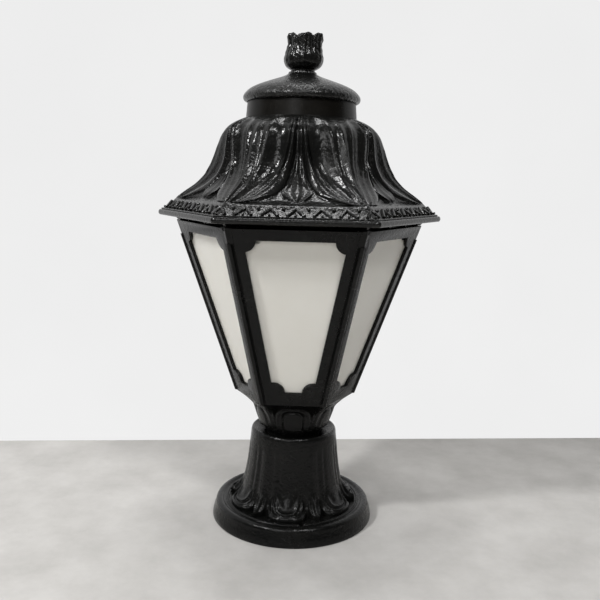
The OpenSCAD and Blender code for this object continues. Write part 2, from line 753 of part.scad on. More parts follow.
module finial() {
    steps = [0, 0.05, 0.12, 0.22, 0.33, 0.46, 0.6, 0.74, 0.86, 0.95, 1];
    angles = [for (j = [0:finial_samples - 1]) 360 * j / finial_samples];
    cup_r = finial_d * 0.27;
    color(resin)
    difference() {
        skin(concat(
            [for (t = steps) [for (a = angles) polar(finial_r(a, t), a, finial_z + finial_rise(a, t))]],
            [
                [for (a = angles) polar(cup_r, a, finial_z + finial_rise(a, 1) - 1.6)],
                [for (a = angles) polar(cup_r * 0.6, a, finial_top_z - 4)]
            ]
        ));
        translate([0, 0, finial_z - 1]) cylinder(r = stud_r + thread_gap, h = finial_h * 0.5 + 1);
    }
}

module finial_washer() {
    color(rubber)
    translate([0, 0, cap_low_z + cap_h + fit_gap]) tube(cap_neck_d / 2 - 1.6, stud_r + fit_gap, finial_washer_t);
}

stud_low_z = spider_z - 6;

module finial_stud() {
    color(steel) translate([0, 0, stud_low_z]) cylinder(r = stud_r, h = finial_z + finial_h * 0.45 - stud_low_z);
}

module finial_nut() {
    color(steel)
    translate([0, 0, spider_z - 4])
        difference() {
            cylinder(r = 4.6, h = 4, $fn = 6);
            translate([0, 0, -1]) cylinder(r = stud_r + 0.1, h = 6);
        }
}

// Lampholder and lamp

holder_z = stem_top_z - 5;
cup_z = holder_z + 9;
shell_r = 14.2;
lamp_tip_z = cup_z + 5;

module holder_base() {
    color(ceramic)
    difference() {
        union() {
            translate([0, 0, holder_z]) cylinder(r1 = 9, r2 = holder_d / 2 - 3, h = 6);
            translate([0, 0, holder_z + 6]) cylinder(r = holder_d / 2 - 3, h = cup_z - holder_z - 3);
        }
        translate([0, 0, holder_z - 1]) cylinder(r = stem_r + 0.1, h = 6);
        translate([0, 0, holder_z + 4]) cylinder(r = stem_bore_d / 2, h = 20);
        translate([0, 0, cup_z]) cylinder(r = shell_r + 0.8, h = 20);
    }
}

module holder_sleeve() {
    color(resin)
    translate([0, 0, holder_z + 6])
        difference() {
            cylinder(r = holder_d / 2, h = holder_h - 6);
            translate([0, 0, -1]) cylinder(r = holder_d / 2 - 3 + fit_gap, h = cup_z - holder_z - 1);
            translate([0, 0, 2]) cylinder(r = shell_r + 1.6, h = holder_h);
        }
}

module holder_shell() {
    color(brass)
    translate([0, 0, cup_z])
        difference() {
            cylinder(r = shell_r, h = 22);
            translate([0, 0, 0.6]) cylinder(r = shell_r - 0.6, h = 22);
            translate([0, 0, -1]) cylinder(r = 8, h = 3);
        }
}

module centre_contact() {
    color(brass)
    translate([0, 0, cup_z]) {
        translate([-6, -2, 0]) cube([12, 4, 0.8]);
        translate([0, 0, 0.8]) cylinder(r1 = 3, r2 = 1.8, h = lamp_tip_z - cup_z - 1.1);
    }
}

module lamp() {
    cap_r = 13.2;
    bulb_r = lamp_d / 2;
    bulb_z = lamp_tip_z + lamp_l - bulb_r;
    shoulder = lamp_tip_z + lamp_l * 0.255;
    color(opal)
    rotate_extrude()
        polygon([
            [0, lamp_tip_z], [4.5, lamp_tip_z], [7.5, lamp_tip_z + 3], [cap_r, lamp_tip_z + 5], [cap_r, shoulder],
            [cap_r + 1.5, shoulder + 3],
            for (k = [0:4]) let (t = k / 4) [
                lerp(cap_r + 2.6, bulb_r * cos(-28), ease(t) * 0.4 + t * 0.6),
                lerp(shoulder + 10, bulb_z + bulb_r * sin(-28), t)
            ],
            for (a = [-20:10:90]) [bulb_r * cos(a), bulb_z + bulb_r * sin(a)]
        ]);
}

// Wiring

block = [16, 18, 12];
block_x = stem_r + 8;
block_top_z = seat_z - wall;
block_screw_x = block_x + block[0] - 4;

module terminal_block() {
    color(ceramic)
    translate([block_x, -block[1] / 2, block_top_z - block[2]])
        difference() {
            cube(block);
            for (y = [5, 13]) {
                translate([-1, y, 5]) rotate([0, 90, 0]) cylinder(r = lead_d / 2 + 0.4, h = block[0] + 2, $fn = 24);
                translate([4, y, -1]) cylinder(r = 1.8, h = 4, $fn = 24);
            }
            translate([block[0] - 4, block[1] / 2, -1]) cylinder(r = 1.6, h = block[2] + 2, $fn = 24);
        }
}

module block_screw() {
    color(steel)
    translate([block_screw_x, 0, block_top_z - block[2] - 1.4]) {
        cylinder(r = 2.7, h = 1.4, $fn = 32);
        cylinder(r = 1.3, h = block[2] + 1.4 + wall * 0.5, $fn = 24);
    }
}

// One lead, from the terminal block round into the stem tube and up to the lampholder
module lead(s) {
    y = s * 4;
    bore_y = s * 1.7;
    z0 = block_top_z - block[2] + 5;
    swept_tube([
        [block_x + 6, y, z0], [block_x, y, z0], [block_x - 2.5, y, z0 - 3], [block_x - 4, y, z0 - 9],
        [block_x - 7, lerp(y, bore_y, 0.4), z0 - 13], [block_x - 11, lerp(y, bore_y, 0.8), z0 - 12],
        [0.6, bore_y, stem_low_z - 4], [0, bore_y, stem_low_z + 1],
        [0, bore_y, lerp(stem_low_z, stem_top_z, 0.5)], [0, bore_y, cup_z - 1]
    ], lead_d / 2);
}

module live_lead() {
    color("saddlebrown") lead(1);
}

module neutral_lead() {
    color("steelblue") lead(-1);
}

pedestal();
stem_tube();
lower_washer();
lower_nut();
upper_washer();
upper_nut();
cage();
diffuser();
top_ring();
ring_screws();
holder_base();
holder_sleeve();
holder_shell();
centre_contact();
lamp();
terminal_block();
block_screw();
live_lead();
neutral_lead();
roof_seal();
roof();
chimney_collar();
cap_seal();
cap();
finial_washer();
finial();
finial_stud();
finial_nut();
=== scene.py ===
import math
import bpy
import bmesh
import numpy as np
from mathutils import Matrix, Vector


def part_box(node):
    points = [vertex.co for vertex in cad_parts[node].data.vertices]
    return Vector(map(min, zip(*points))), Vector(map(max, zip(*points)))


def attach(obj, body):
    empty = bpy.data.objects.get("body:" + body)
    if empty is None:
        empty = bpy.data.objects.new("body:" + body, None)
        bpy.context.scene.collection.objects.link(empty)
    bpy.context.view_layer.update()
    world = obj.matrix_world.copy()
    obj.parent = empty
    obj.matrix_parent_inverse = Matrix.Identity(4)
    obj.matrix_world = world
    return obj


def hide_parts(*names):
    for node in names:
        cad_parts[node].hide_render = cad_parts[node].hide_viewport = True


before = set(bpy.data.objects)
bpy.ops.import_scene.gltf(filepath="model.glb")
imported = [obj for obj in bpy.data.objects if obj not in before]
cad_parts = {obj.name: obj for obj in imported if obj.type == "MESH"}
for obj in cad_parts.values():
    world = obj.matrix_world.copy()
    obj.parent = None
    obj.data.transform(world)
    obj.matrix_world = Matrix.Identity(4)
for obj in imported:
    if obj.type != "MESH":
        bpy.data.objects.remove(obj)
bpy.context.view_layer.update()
mm = 0.001
halfAngleCos = math.cos(math.radians(30))      # half width of a hexagon as a share of its corner radius
print("frame loaded")

# the camera was solved from the round foot and the two hexagons
cameraView = {
    "distance": 572.5 * mm, "height": 274.2 * mm,   # from the lantern's axis, above the ground
    "pitch": 9.523, "yaw": 0.25, "roll": 1.477,     # degrees
    "turn": 1.248,                                  # round the lantern, degrees
    "lens": 43.8,
}


def newObject(name, data):
    thing = bpy.data.objects.new(name, data)
    bpy.context.scene.collection.objects.link(thing)
    return thing


def aimCamera(view):
    pitch, yaw, roll = (math.radians(view[key]) for key in ("pitch", "yaw", "roll"))
    ahead = Vector((math.sin(yaw) * math.cos(pitch), math.cos(yaw) * math.cos(pitch), -math.sin(pitch)))
    right = Vector((math.cos(yaw), -math.sin(yaw), 0))
    up = right.cross(ahead)
    across = right * math.cos(roll) + up * math.sin(roll)
    upward = up * math.cos(roll) - right * math.sin(roll)
    place = Matrix((across, upward, -ahead)).transposed().to_4x4()
    place.translation = Vector((0, -view["distance"], view["height"]))
    camera = newObject("camera", bpy.data.cameras.new("camera"))
    camera.data.lens = view["lens"]
    camera.data.sensor_width = 36
    camera.matrix_world = Matrix.Rotation(math.radians(view["turn"]), 4, "Z") @ place
    bpy.context.scene.camera = camera


aimCamera(cameraView)


def newMaterial(name):
    material = bpy.data.materials.new(name)
    material.use_nodes = True
    nodes = material.node_tree.nodes
    shader = nodes["Principled BSDF"]
    return material, nodes, material.node_tree.links, shader


# noise on object coordinates; scale is in patches a metre
def objectNoise(nodes, links, scale, detail, roughness=0.6):
    place = nodes.new("ShaderNodeTexCoord")
    noise = nodes.new("ShaderNodeTexNoise")
    noise.inputs["Scale"].default_value = scale
    noise.inputs["Detail"].default_value = detail
    noise.inputs["Roughness"].default_value = roughness
    links.new(place.outputs["Object"], noise.inputs["Vector"])
    return noise.outputs["Fac"]


def ramp(nodes, links, source, stops):
    node = nodes.new("ShaderNodeValToRGB")
    for i, (place, colour) in enumerate(stops):
        stop = node.color_ramp.elements[i] if i < 2 else node.color_ramp.elements.new(place)
        stop.position = place
        stop.color = (*colour, 1)
    links.new(source, node.inputs["Fac"])
    return node.outputs["Color"]


# noise runs from about 0.3 to 0.7
def mapRange(nodes, links, source, low, high):
    node = nodes.new("ShaderNodeMapRange")
    for key, value in (("From Min", 0.3), ("From Max", 0.7), ("To Min", low), ("To Max", high)):
        node.inputs[key].default_value = value
    links.new(source, node.inputs["Value"])
    return node.outputs["Result"]


def bump(nodes, links, height, strength, distance, below=None):
    node = nodes.new("ShaderNodeBump")
    node.inputs["Strength"].default_value = strength
    node.inputs["Distance"].default_value = distance
    links.new(height, node.inputs["Height"])
    if below:
        links.new(below, node.inputs["Normal"])
    return node.outputs["Normal"]


# noise patches a metre, then a share and a depth
resinSkin = {"patches": 28, "pebbles": 430, "pits": 1150, "specks": 260, "sheenSpread": 0.05, "pitDepth": 0.15 * mm}


# black resin: pebbled skin and a patchy sheen
def mouldedResin(name, dark, light, rough, grain, fine, gloss, depth=0.4 * mm):
    material, nodes, links, shader = newMaterial(name)
    patches = objectNoise(nodes, links, resinSkin["patches"], 3)
    skin = objectNoise(nodes, links, resinSkin["pebbles"], 2, 0.5)
    pits = objectNoise(nodes, links, resinSkin["pits"], 2, 0.5)
    specks = objectNoise(nodes, links, resinSkin["specks"], 6, 0.7)
    links.new(ramp(nodes, links, patches, [(0.3, dark), (0.72, light)]), shader.inputs["Base Color"])
    mix = nodes.new("ShaderNodeMath")
    mix.operation = "MULTIPLY_ADD"
    links.new(mapRange(nodes, links, specks, -1, 1), mix.inputs[0])
    mix.inputs[1].default_value = resinSkin["sheenSpread"]
    links.new(mapRange(nodes, links, patches, rough[0], rough[1]), mix.inputs[2])
    links.new(mix.outputs["Value"], shader.inputs["Roughness"])
    normal = bump(nodes, links, skin, grain, depth)
    links.new(bump(nodes, links, pits, fine, resinSkin["pitDepth"], normal), shader.inputs["Normal"])
    shader.inputs["Specular IOR Level"].default_value = gloss
    return material


# colour and sheen vary a little over a surface
def plainFinish(name, dark, light, rough, scale, grain=0.1, metal=0.0):
    material, nodes, links, shader = newMaterial(name)
    patches = objectNoise(nodes, links, scale, 4)
    fineGrain = objectNoise(nodes, links, scale * 14, 3)
    links.new(ramp(nodes, links, patches, [(0.3, dark), (0.7, light)]), shader.inputs["Base Color"])
    links.new(mapRange(nodes, links, fineGrain, rough[0], rough[1]), shader.inputs["Roughness"])
    links.new(bump(nodes, links, fineGrain, grain, 0.2 * mm), shader.inputs["Normal"])
    shader.inputs["Metallic"].default_value = metal
    return material


darkTone, lightTone = (0.0028, 0.0030, 0.0029), (0.0066, 0.0065, 0.0059)
blackResin = mouldedResin("blackResin", darkTone, lightTone, (0.15, 0.29), 0.85, 0.35, 0.33)
pebbledResin = mouldedResin("pebbledResin", darkTone, lightTone, (0.2, 0.34), 1.0, 0.6, 0.36, 0.85 * mm)
# darker, less glossy copy of the black resin for the cage, calyx and pedestal: its darker colour is painted shade
shadedLowerResin = mouldedResin("shadedLowerResin", (0.0020, 0.0022, 0.0021), (0.0046, 0.0046, 0.0042), (0.17, 0.31), 0.85, 0.35, 0.2)
# lighter, glossier copy of the black resin for the band's beads: its lighter colour is a painted highlight
litBeadResin = mouldedResin("litBeadResin", (0.0034, 0.0036, 0.0035), (0.0080, 0.0079, 0.0072), (0.2, 0.34), 1.0, 0.5, 0.55)
smoothResin = mouldedResin("smoothResin", (0.0042, 0.0038, 0.003), (0.0072, 0.0064, 0.0052), (0.28, 0.36), 0.05, 0.05, 0.13)
sealRubber = plainFinish("sealRubber", (0.010, 0.010, 0.010), (0.02, 0.02, 0.02), (0.6, 0.8), 60)
platedSteel = plainFinish("platedSteel", (0.45, 0.45, 0.46), (0.6, 0.6, 0.6), (0.22, 0.4), 90, 0.08, 1.0)
contactBrass = plainFinish("contactBrass", (0.55, 0.38, 0.16), (0.68, 0.5, 0.24), (0.2, 0.35), 90, 0.08, 1.0)
whiteCeramic = plainFinish("whiteCeramic", (0.68, 0.67, 0.63), (0.78, 0.77, 0.74), (0.15, 0.3), 40, 0.05)
holderBlack = plainFinish("holderBlack", (0.011, 0.011, 0.011), (0.02, 0.02, 0.02), (0.3, 0.45), 60, 0.15)
lampOpal = plainFinish("lampOpal", (0.78, 0.77, 0.74), (0.84, 0.83, 0.8), (0.3, 0.4), 30, 0.03)
leadBrown = plainFinish("leadBrown", (0.12, 0.05, 0.02), (0.17, 0.08, 0.04), (0.35, 0.5), 200)
leadBlue = plainFinish("leadBlue", (0.02, 0.07, 0.22), (0.04, 0.12, 0.3), (0.35, 0.5), 200)
opalLook = {
    "dark": (0.735, 0.72, 0.665), "light": (0.765, 0.75, 0.70), "rough": (0.42, 0.55), "clouds": 18, "haze": 700,
    "spread": 0.25, "spreadRadius": (4 * mm, 4 * mm, 3.8 * mm),
}


# milky sheet: light passes and spreads in it
def opalSheet(name):
    look = opalLook
    material, nodes, links, shader = newMaterial(name)
    clouds = objectNoise(nodes, links, look["clouds"], 3)
    haze = objectNoise(nodes, links, look["haze"], 2)
    tone = ramp(nodes, links, clouds, [(0.3, look["dark"]), (0.7, look["light"])])
    links.new(tone, shader.inputs["Base Color"])
    links.new(mapRange(nodes, links, haze, *look["rough"]), shader.inputs["Roughness"])
    links.new(bump(nodes, links, haze, 0.05, 0.1 * mm), shader.inputs["Normal"])
    shader.inputs["Subsurface Weight"].default_value = look["spread"]
    shader.inputs["Subsurface Radius"].default_value = look["spreadRadius"]
    return material


opalResin = opalSheet("opalResin")
nodeFinishes = {
    blackResin: ("top_ring",),
    smoothResin: ("chimney_collar",),
    opalResin: ("diffuser",),
    sealRubber: ("roof_seal", "cap_seal", "finial_washer"),
    platedSteel: ("stem_tube", "lower_washer", "lower_nut", "upper_washer", "upper_nut", "ring_screws",
                  "block_screw", "finial_stud", "finial_nut"),
    contactBrass: ("holder_shell", "centre_contact"),
    whiteCeramic: ("holder_base", "terminal_block"),
    holderBlack: ("holder_sleeve",),
    lampOpal: ("lamp",),
    leadBrown: ("live_lead",),
    leadBlue: ("neutral_lead",),
}
for finish, nodeNames in nodeFinishes.items():
    for nodeName in nodeNames:
        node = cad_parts[nodeName]
        node.data.materials.clear()
        node.data.materials.append(finish)
print("materials made")


def ease(t):
    t = np.clip(t, 0, 1)
    return t * t * (3 - 2 * t)


# a smooth line through the points, read at x
def smoothLine(points, x):
    px, py = np.array(points, float).T
    x = np.clip(np.asarray(x, float), px[0], px[-1])
    before, after = np.r_[0, np.arange(len(px) - 1)], np.r_[np.arange(1, len(px)), len(px) - 1]
    slope = (py[after] - py[before]) / (px[after] - px[before])
    i = np.clip(np.searchsorted(px, x, side="right") - 1, 0, len(px) - 2)
    w = px[i + 1] - px[i]
    t = (x - px[i]) / w
    return ((2 * t**3 - 3 * t**2 + 1) * py[i] + (t**3 - 2 * t**2 + t) * slope[i] * w
            + (3 * t**2 - 2 * t**3) * py[i + 1] + (t**3 - t**2) * slope[i + 1] * w)


# a smooth hump of height 1
def bell(x, middle, width):
    return np.exp(-((x - middle) / width) ** 2)


# radius of a hexagon as a share of its corner's, corners at 0, 60, ...
def hexagonShare(degrees):
    fromCorner = np.abs((np.asarray(degrees) + 30) % 60 - 30)
    return halfAngleCos / np.cos(np.radians(30 - fromCorner))


def finishPiece(name, mesh, finish, body, nodes=(), sharp=40):
    shape = bmesh.new()
    shape.from_mesh(mesh)
    bmesh.ops.remove_doubles(shape, verts=shape.verts, dist=1e-6)
    bmesh.ops.recalc_face_normals(shape, faces=shape.faces)
    shape.to_mesh(mesh)
    shape.free()
    mesh.shade_smooth()
    mesh.set_sharp_from_angle(angle=math.radians(sharp))
    mesh.materials.clear()
    mesh.materials.append(finish)
    piece = newObject(name, mesh)
    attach(piece, body)
    if nodes:
        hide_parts(*nodes)


# closed skin over rows of points, each once round the axis; with ring the last row meets the first
def skinMesh(name, rows, ring=False):
    rows = np.asarray(rows, float)
    count, around = rows.shape[:2]
    i, j = np.meshgrid(np.arange(count if ring else count - 1), np.arange(around), indexing="ij")
    up, nextOne = (i + 1) % count, (j + 1) % around
    quads = np.stack([i * around + j, i * around + nextOne, up * around + nextOne, up * around + j], -1)
    faces = quads.reshape(-1, 4).tolist()
    if not ring:
        faces += [list(range(around))[::-1], [(count - 1) * around + k for k in range(around)]]
    mesh = bpy.data.meshes.new(name)
    mesh.from_pydata(rows.reshape(-1, 3).tolist(), [], faces)
    return mesh


def meshFrom(shape, name):
    mesh = bpy.data.meshes.new(name)
    shape.to_mesh(mesh)
    shape.free()
    return mesh


def polarRow(radius, degrees, z):
    a = np.radians(degrees)
    radius, z = np.broadcast_to(radius, a.shape), np.broadcast_to(z, a.shape)
    return np.stack([radius * np.cos(a), radius * np.sin(a), z], -1)


# closed outline with its corners rounded
def softened(points, radius, steps=4):
    corners, out = [Vector(p) for p in points], []
    for i, here in enumerate(corners):
        back, on = corners[i - 1] - here, corners[(i + 1) % len(corners)] - here
        reach = min(radius, back.length * 0.45, on.length * 0.45)
        a, b = here + back.normalized() * reach, here + on.normalized() * reach
        for k in range(steps + 1):
            t = k / steps
            out.append(a.lerp(here, t).lerp(here.lerp(b, t), t))
    return [tuple(p) for p in out]


# closed outline of (radius, height) points turned round the axis
def lathe(name, outline, steps=192):
    angles = np.arange(steps) * 360 / steps
    return skinMesh(name, [polarRow(max(r, 1e-7), angles, z) for r, z in outline], ring=True)


# a tree with named inputs; sockets are (name, type, default)
def newTree(name, sockets):
    tree = bpy.data.node_groups.new(name, "GeometryNodeTree")
    tree.interface.new_socket("Geometry", in_out="INPUT", socket_type="NodeSocketGeometry")
    for label, kind, value in sockets:
        socket = tree.interface.new_socket(label, in_out="INPUT", socket_type=kind)
        if value is not None:
            socket.default_value = value
    tree.interface.new_socket("Geometry", in_out="OUTPUT", socket_type="NodeSocketGeometry")
    source = tree.nodes.new("NodeGroupInput")
    out = tree.nodes.new("NodeGroupOutput")
    return tree, source, out


def addNode(tree, kind, inputs=None, **settings):
    node = tree.nodes.new(kind)
    for key, value in settings.items():
        setattr(node, key, value)
    for key, value in (inputs or {}).items():
        if isinstance(value, bpy.types.NodeSocket):
            tree.links.new(value, node.inputs[key])
        else:
            node.inputs[key].default_value = value
    return node


# instances of a geometry turned round the axis, from a first angle in degrees
def copiesRound(tree, geometry, count, first):
    line = addNode(tree, "GeometryNodeMeshLine", {"Count": count, "Offset": (0, 0, 0)})
    index = addNode(tree, "GeometryNodeInputIndex")
    part = addNode(tree, "ShaderNodeMath", {0: 360.0, 1: count}, operation="DIVIDE")
    angle = addNode(tree, "ShaderNodeMath", {0: index.outputs[0], 1: part.outputs[0], 2: first},
                    operation="MULTIPLY_ADD")
    turn = addNode(tree, "ShaderNodeMath", {0: angle.outputs[0]}, operation="RADIANS")
    vector = addNode(tree, "ShaderNodeCombineXYZ", {"Z": turn.outputs[0]})
    copies = addNode(tree, "GeometryNodeInstanceOnPoints",
                     {"Points": line.outputs["Mesh"], "Instance": geometry, "Rotation": vector.outputs[0]})
    return addNode(tree, "GeometryNodeRealizeInstances", {"Geometry": copies.outputs["Instances"]}).outputs["Geometry"]


ringSockets = [("Count", "NodeSocketInt", 6), ("First angle", "NodeSocketFloat", 0.0),
               ("Finish", "NodeSocketMaterial", None)]


# repeats a geometry round the axis, coats it and ends the tree
def ringEnd(tree, source, geometry, out):
    ring = copiesRound(tree, geometry, source.outputs["Count"], source.outputs["First angle"])
    coat = addNode(tree, "GeometryNodeSetMaterial", {"Geometry": ring, "Material": source.outputs["Finish"]})
    tree.links.new(coat.outputs["Geometry"], out.inputs["Geometry"])
    return tree


# runs a tree on a mesh and gives the plain mesh back
def treeResult(name, mesh, tree, values):
    holder = newObject(name + "Source", mesh)
    modifier = holder.modifiers.new("shape", "NODES")
    modifier.node_group = tree
    for item in tree.interface.items_tree:
        if item.item_type == "SOCKET" and item.in_out == "INPUT" and item.name in values:
            modifier[item.identifier] = values[item.name]
    view = bpy.context.evaluated_depsgraph_get()
    result = bpy.data.meshes.new_from_object(holder.evaluated_get(view))
    holder.modifiers.clear()
    bpy.data.objects.remove(holder)
    result.name = name
    return result


# repeats a mesh round the axis
def roundTree():
    tree, source, out = newTree("repeatRound", ringSockets)
    return ringEnd(tree, source, source.outputs["Geometry"], out)


# a round bead along a line, repeated round the axis
def cordTree():
    tree, source, out = newTree("beadLine", [("Bead radius", "NodeSocketFloat", 0.8 * mm),
                                             ("Corner radius", "NodeSocketFloat", 0.6 * mm)] + ringSockets)
    path = addNode(tree, "GeometryNodeMeshToCurve", {"Mesh": source.outputs["Geometry"]})
    bends = addNode(tree, "GeometryNodeFilletCurve",
                    {"Curve": path.outputs["Curve"], "Radius": source.outputs["Corner radius"], "Count": 2}, mode="POLY")
    section = addNode(tree, "GeometryNodeCurvePrimitiveCircle",
                      {"Radius": source.outputs["Bead radius"], "Resolution": 8})
    bead = addNode(tree, "GeometryNodeCurveToMesh",
                   {"Curve": bends.outputs["Curve"], "Profile Curve": section.outputs["Curve"], "Fill Caps": True})
    return ringEnd(tree, source, bead.outputs["Mesh"], out)


# small beads on the points of a mesh, repeated round the axis
def pearlTree():
    tree, source, out = newTree("pearls", [("Pearl radius", "NodeSocketFloat", 1 * mm)] + ringSockets)
    ball = addNode(tree, "GeometryNodeMeshIcoSphere", {"Radius": source.outputs["Pearl radius"], "Subdivisions": 3})
    pearls = addNode(tree, "GeometryNodeInstanceOnPoints",
                     {"Points": source.outputs["Geometry"], "Instance": ball.outputs["Mesh"]})
    solid = addNode(tree, "GeometryNodeRealizeInstances", {"Geometry": pearls.outputs["Instances"]})
    return ringEnd(tree, source, solid.outputs["Geometry"], out)


trees = {"round": roundTree(), "bead": cordTree(), "pearls": pearlTree()}


def repeated(name, mesh, tree, body, finish, nodes=(), sharp=40, **values):
    values = {key.replace("_", " "): value for key, value in values.items()}
    values["Finish"] = finish
    finishPiece(name, treeResult(name, mesh, trees[tree], values), finish, body, nodes, sharp)


def lineMesh(name, points):
    mesh = bpy.data.meshes.new(name)
    mesh.from_pydata(points, [(i, i + 1) for i in range(len(points) - 1)], [])
    return mesh


roofLow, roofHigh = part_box("roof")
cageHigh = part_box("cage")[1]
roofSizes = {
    "brimRadius": roofHigh[0], "topRadius": 42.8 * mm, "holeRadius": 38.5 * mm,
    "top": roofHigh[2], "lip": 243 * mm, "crease": 247.5 * mm, "wall": 2.8 * mm, "ground": 4.4 * mm,
    "creaseInset": 3 * mm, "lipRound": 1.5 * mm, "lipHalf": 2.1 * mm, "leafLow": 0.12,
    "rowCount": 120, "columnCounts": (5, 9, 4, 4, 5, 5, 6),
}
# radius share over the height share from crease to top
roofOutline = [
    (0, 1), (0.06, 0.91), (0.12, 0.835), (0.145, 0.81), (0.2, 0.73), (0.28, 0.605), (0.33, 0.545), (0.39, 0.486),
    (0.44, 0.455), (0.5, 0.418), (0.56, 0.39), (0.62, 0.365), (0.68, 0.343), (0.74, 0.317), (0.8, 0.291), (0.85, 0.258),
    (0.895, 0.213), (0.93, 0.162), (0.96, 0.103), (0.985, 0.042), (1, 0),
]
# across half a leaf, from its spine at 0 to the middle of the side at 1, over the height share
leafLines = {
    "rib": [(0.12, 0.035), (0.2, 0.065), (0.36, 0.14), (0.55, 0.2), (0.8, 0.27), (1, 0.33)],
    "ridge": [(0.12, 0.075), (0.16, 0.17), (0.2, 0.25), (0.27, 0.36), (0.343, 0.45), (0.431, 0.58), (0.55, 0.68),
              (0.764, 0.77), (1, 0.82)],
    "border": [(0.12, 0.1), (0.16, 0.25), (0.19, 0.35), (0.23, 0.43), (0.29, 0.53), (0.4, 0.65), (0.56, 0.76),
               (0.76, 0.85), (1, 0.88)],
    "edge": [(0.12, 0.14), (0.145, 0.3), (0.16, 0.42), (0.19, 0.53), (0.22, 0.62), (0.27, 0.7), (0.34, 0.77), (0.4, 0.81),
             (0.52, 0.87), (0.63, 0.91), (1, 0.945)],
    "dart": [(0.12, 0.03), (0.15, 0.08), (0.19, 0.17), (0.24, 0.27), (0.31, 0.2), (0.37, 0.14), (0.44, 0.09), (0.52, 0.06),
             (0.65, 0.035), (1, 0.03)],
}


def roofBase(degrees, t):
    size = roofSizes
    creaseRadius = size["brimRadius"] - size["creaseInset"]
    corner = size["topRadius"] + (creaseRadius - size["topRadius"]) * smoothLine(roofOutline, t)
    square = ease((1.02 - t) / 0.62)
    return corner * (1 + (hexagonShare(degrees) - 1) * square)


# places across half a leaf, and how far each lies below the crest, in mm
def leafRow(t):
    rib, ridge, border, edge = (float(smoothLine(leafLines[key], t)) for key in ("rib", "ridge", "border", "edge"))
    dart = 1 - float(smoothLine(leafLines["dart"], t))
    edge = min(edge, dart - 0.012)
    strength = float(ease((t - 0.1) / 0.06) * ease((1.01 - t) / 0.09))
    tongue = float(ease((t - 0.12) / 0.06) * ease((0.62 - t) / 0.16))
    ground = roofSizes["ground"] / mm
    mix = lambda a, b, k: a + (b - a) * k
    marks = [
        (0, 0), (rib * 0.5, 1.7), (rib, 0),
        (mix(rib, ridge, 0.2), 2.0), (mix(rib, ridge, 0.55), 3.6), (mix(rib, ridge, 0.86), 2.3), (ridge, 0.9),
        (mix(ridge, border, 0.5), 1.9), (border, -0.6), (mix(border, edge, 0.5), 0.1), (edge, 2.5),
        (mix(edge, dart, 0.22), ground * 0.9), (mix(edge, dart, 0.5), ground),
        (mix(edge, dart, 0.9), mix(ground, ground * 0.85, tongue)), (dart, mix(ground, 1.4, tongue)),
        (mix(dart, 1, 0.45), mix(ground * 0.97, 2.5, tongue)), (1, mix(ground * 0.9, 0.7, tongue)),
    ]
    stops = [0, rib, ridge, border, edge, mix(edge, dart, 0.5), dart, 1]
    places = []
    for low, high, count in zip(stops, stops[1:], roofSizes["columnCounts"]):
        places += [low + (high - low) * k / count for k in range(count)]
    places = np.array(places + [1.0])
    apart = [marks[0]]
    for place, depth in marks[1:]:
        apart.append((max(place, apart[-1][0] + 0.004), depth))
    return places, strength * smoothLine(apart, np.minimum(places, apart[-1][0]))


# depths across half a leaf, there and back round each of the six corners
def depthsRound(half):
    return np.concatenate([half[:-1], half[:0:-1]] * 6)


# the angles that belong to them, from degrees across half a leaf
def anglesRound(half):
    return np.concatenate([np.r_[60 * k + half[:-1], 60 * (k + 1) - half[:0:-1]] for k in range(6)])


def makeRoof():
    size = roofSizes
    height = size["top"] - size["crease"]
    evenPlaces = leafRow(0.5)[0]
    evenAngles = anglesRound(30 * evenPlaces)

    def hexRow(radius, z):
        return polarRow(radius * hexagonShare(evenAngles), evenAngles, z)

    brim = size["brimRadius"]
    lipRound, lipHalf = size["lipRound"], size["lipHalf"]
    rows = [hexRow(brim - 6.2 * mm, size["crease"] - 2.4 * mm), hexRow(brim - 4.2 * mm, size["lip"] + 0.3 * mm),
            hexRow(brim - 3.4 * mm, size["lip"]), hexRow(brim - 1.4 * mm, size["lip"])]
    for a in np.radians(np.arange(-70, 91, 20)):      # rounded lip
        rows.append(hexRow(brim - lipRound * (1 - math.cos(a)), size["lip"] + lipHalf * (1 + math.sin(a))))
    for t in (0, 0.01, 0.022, 0.045, 0.07, 0.09, 0.1, 0.11):
        rows.append(polarRow(roofBase(evenAngles, t), evenAngles, size["crease"] + t * height))
    low = size["leafLow"]
    for t in low + (1 - low) * np.linspace(0, 1, size["rowCount"]) ** 1.15:
        places, depths = leafRow(t)
        blend = ease((t - low) / 0.02)
        places = places * blend + evenPlaces * (1 - blend)
        if blend < 1:
            depths = smoothLine(list(zip(leafRow(t)[0] + np.arange(len(places)) * 1e-6, depths)), places)
        angles = anglesRound(30 * places)
        crest = roofBase(angles, t)
        rows.append(polarRow(crest - depthsRound(depths) * mm, angles, size["crease"] + t * height))
    hole = size["holeRadius"]
    for outward, down in ((0.8, 0), (0, 0.8), (0, 5.8), (1.5, 6.4)):      # the collar's hole, in mm
        rows.append(polarRow(hole + outward * mm, evenAngles, size["top"] - down * mm))
    for t in (0.9, 0.8, 0.7, 0.6, 0.45, 0.3, 0.2, 0.1, 0.04):
        inner = roofBase(evenAngles, t) - size["wall"] - size["ground"] * ease((t - 0.05) / 0.12)
        rows.append(polarRow(inner, evenAngles, size["crease"] + t * height - 1.6 * mm))
    finishPiece("roofMoulding", skinMesh("roofMoulding", rows, ring=True), blackResin, "roof", ["roof"], sharp=75)


makeRoof()
bandSizes = {"low": 0.02, "high": 0.085, "proud": 0.3 * mm, "teeth": 6, "bead": 1.15 * mm, "bend": 0.3 * mm,
             "pearl": 1.3 * mm, "leaf": 0.9 * mm, "dotInset": 0.004, "spread": 0.33, "rim": 0.55 * mm, "rimBend": 0.2 * mm}


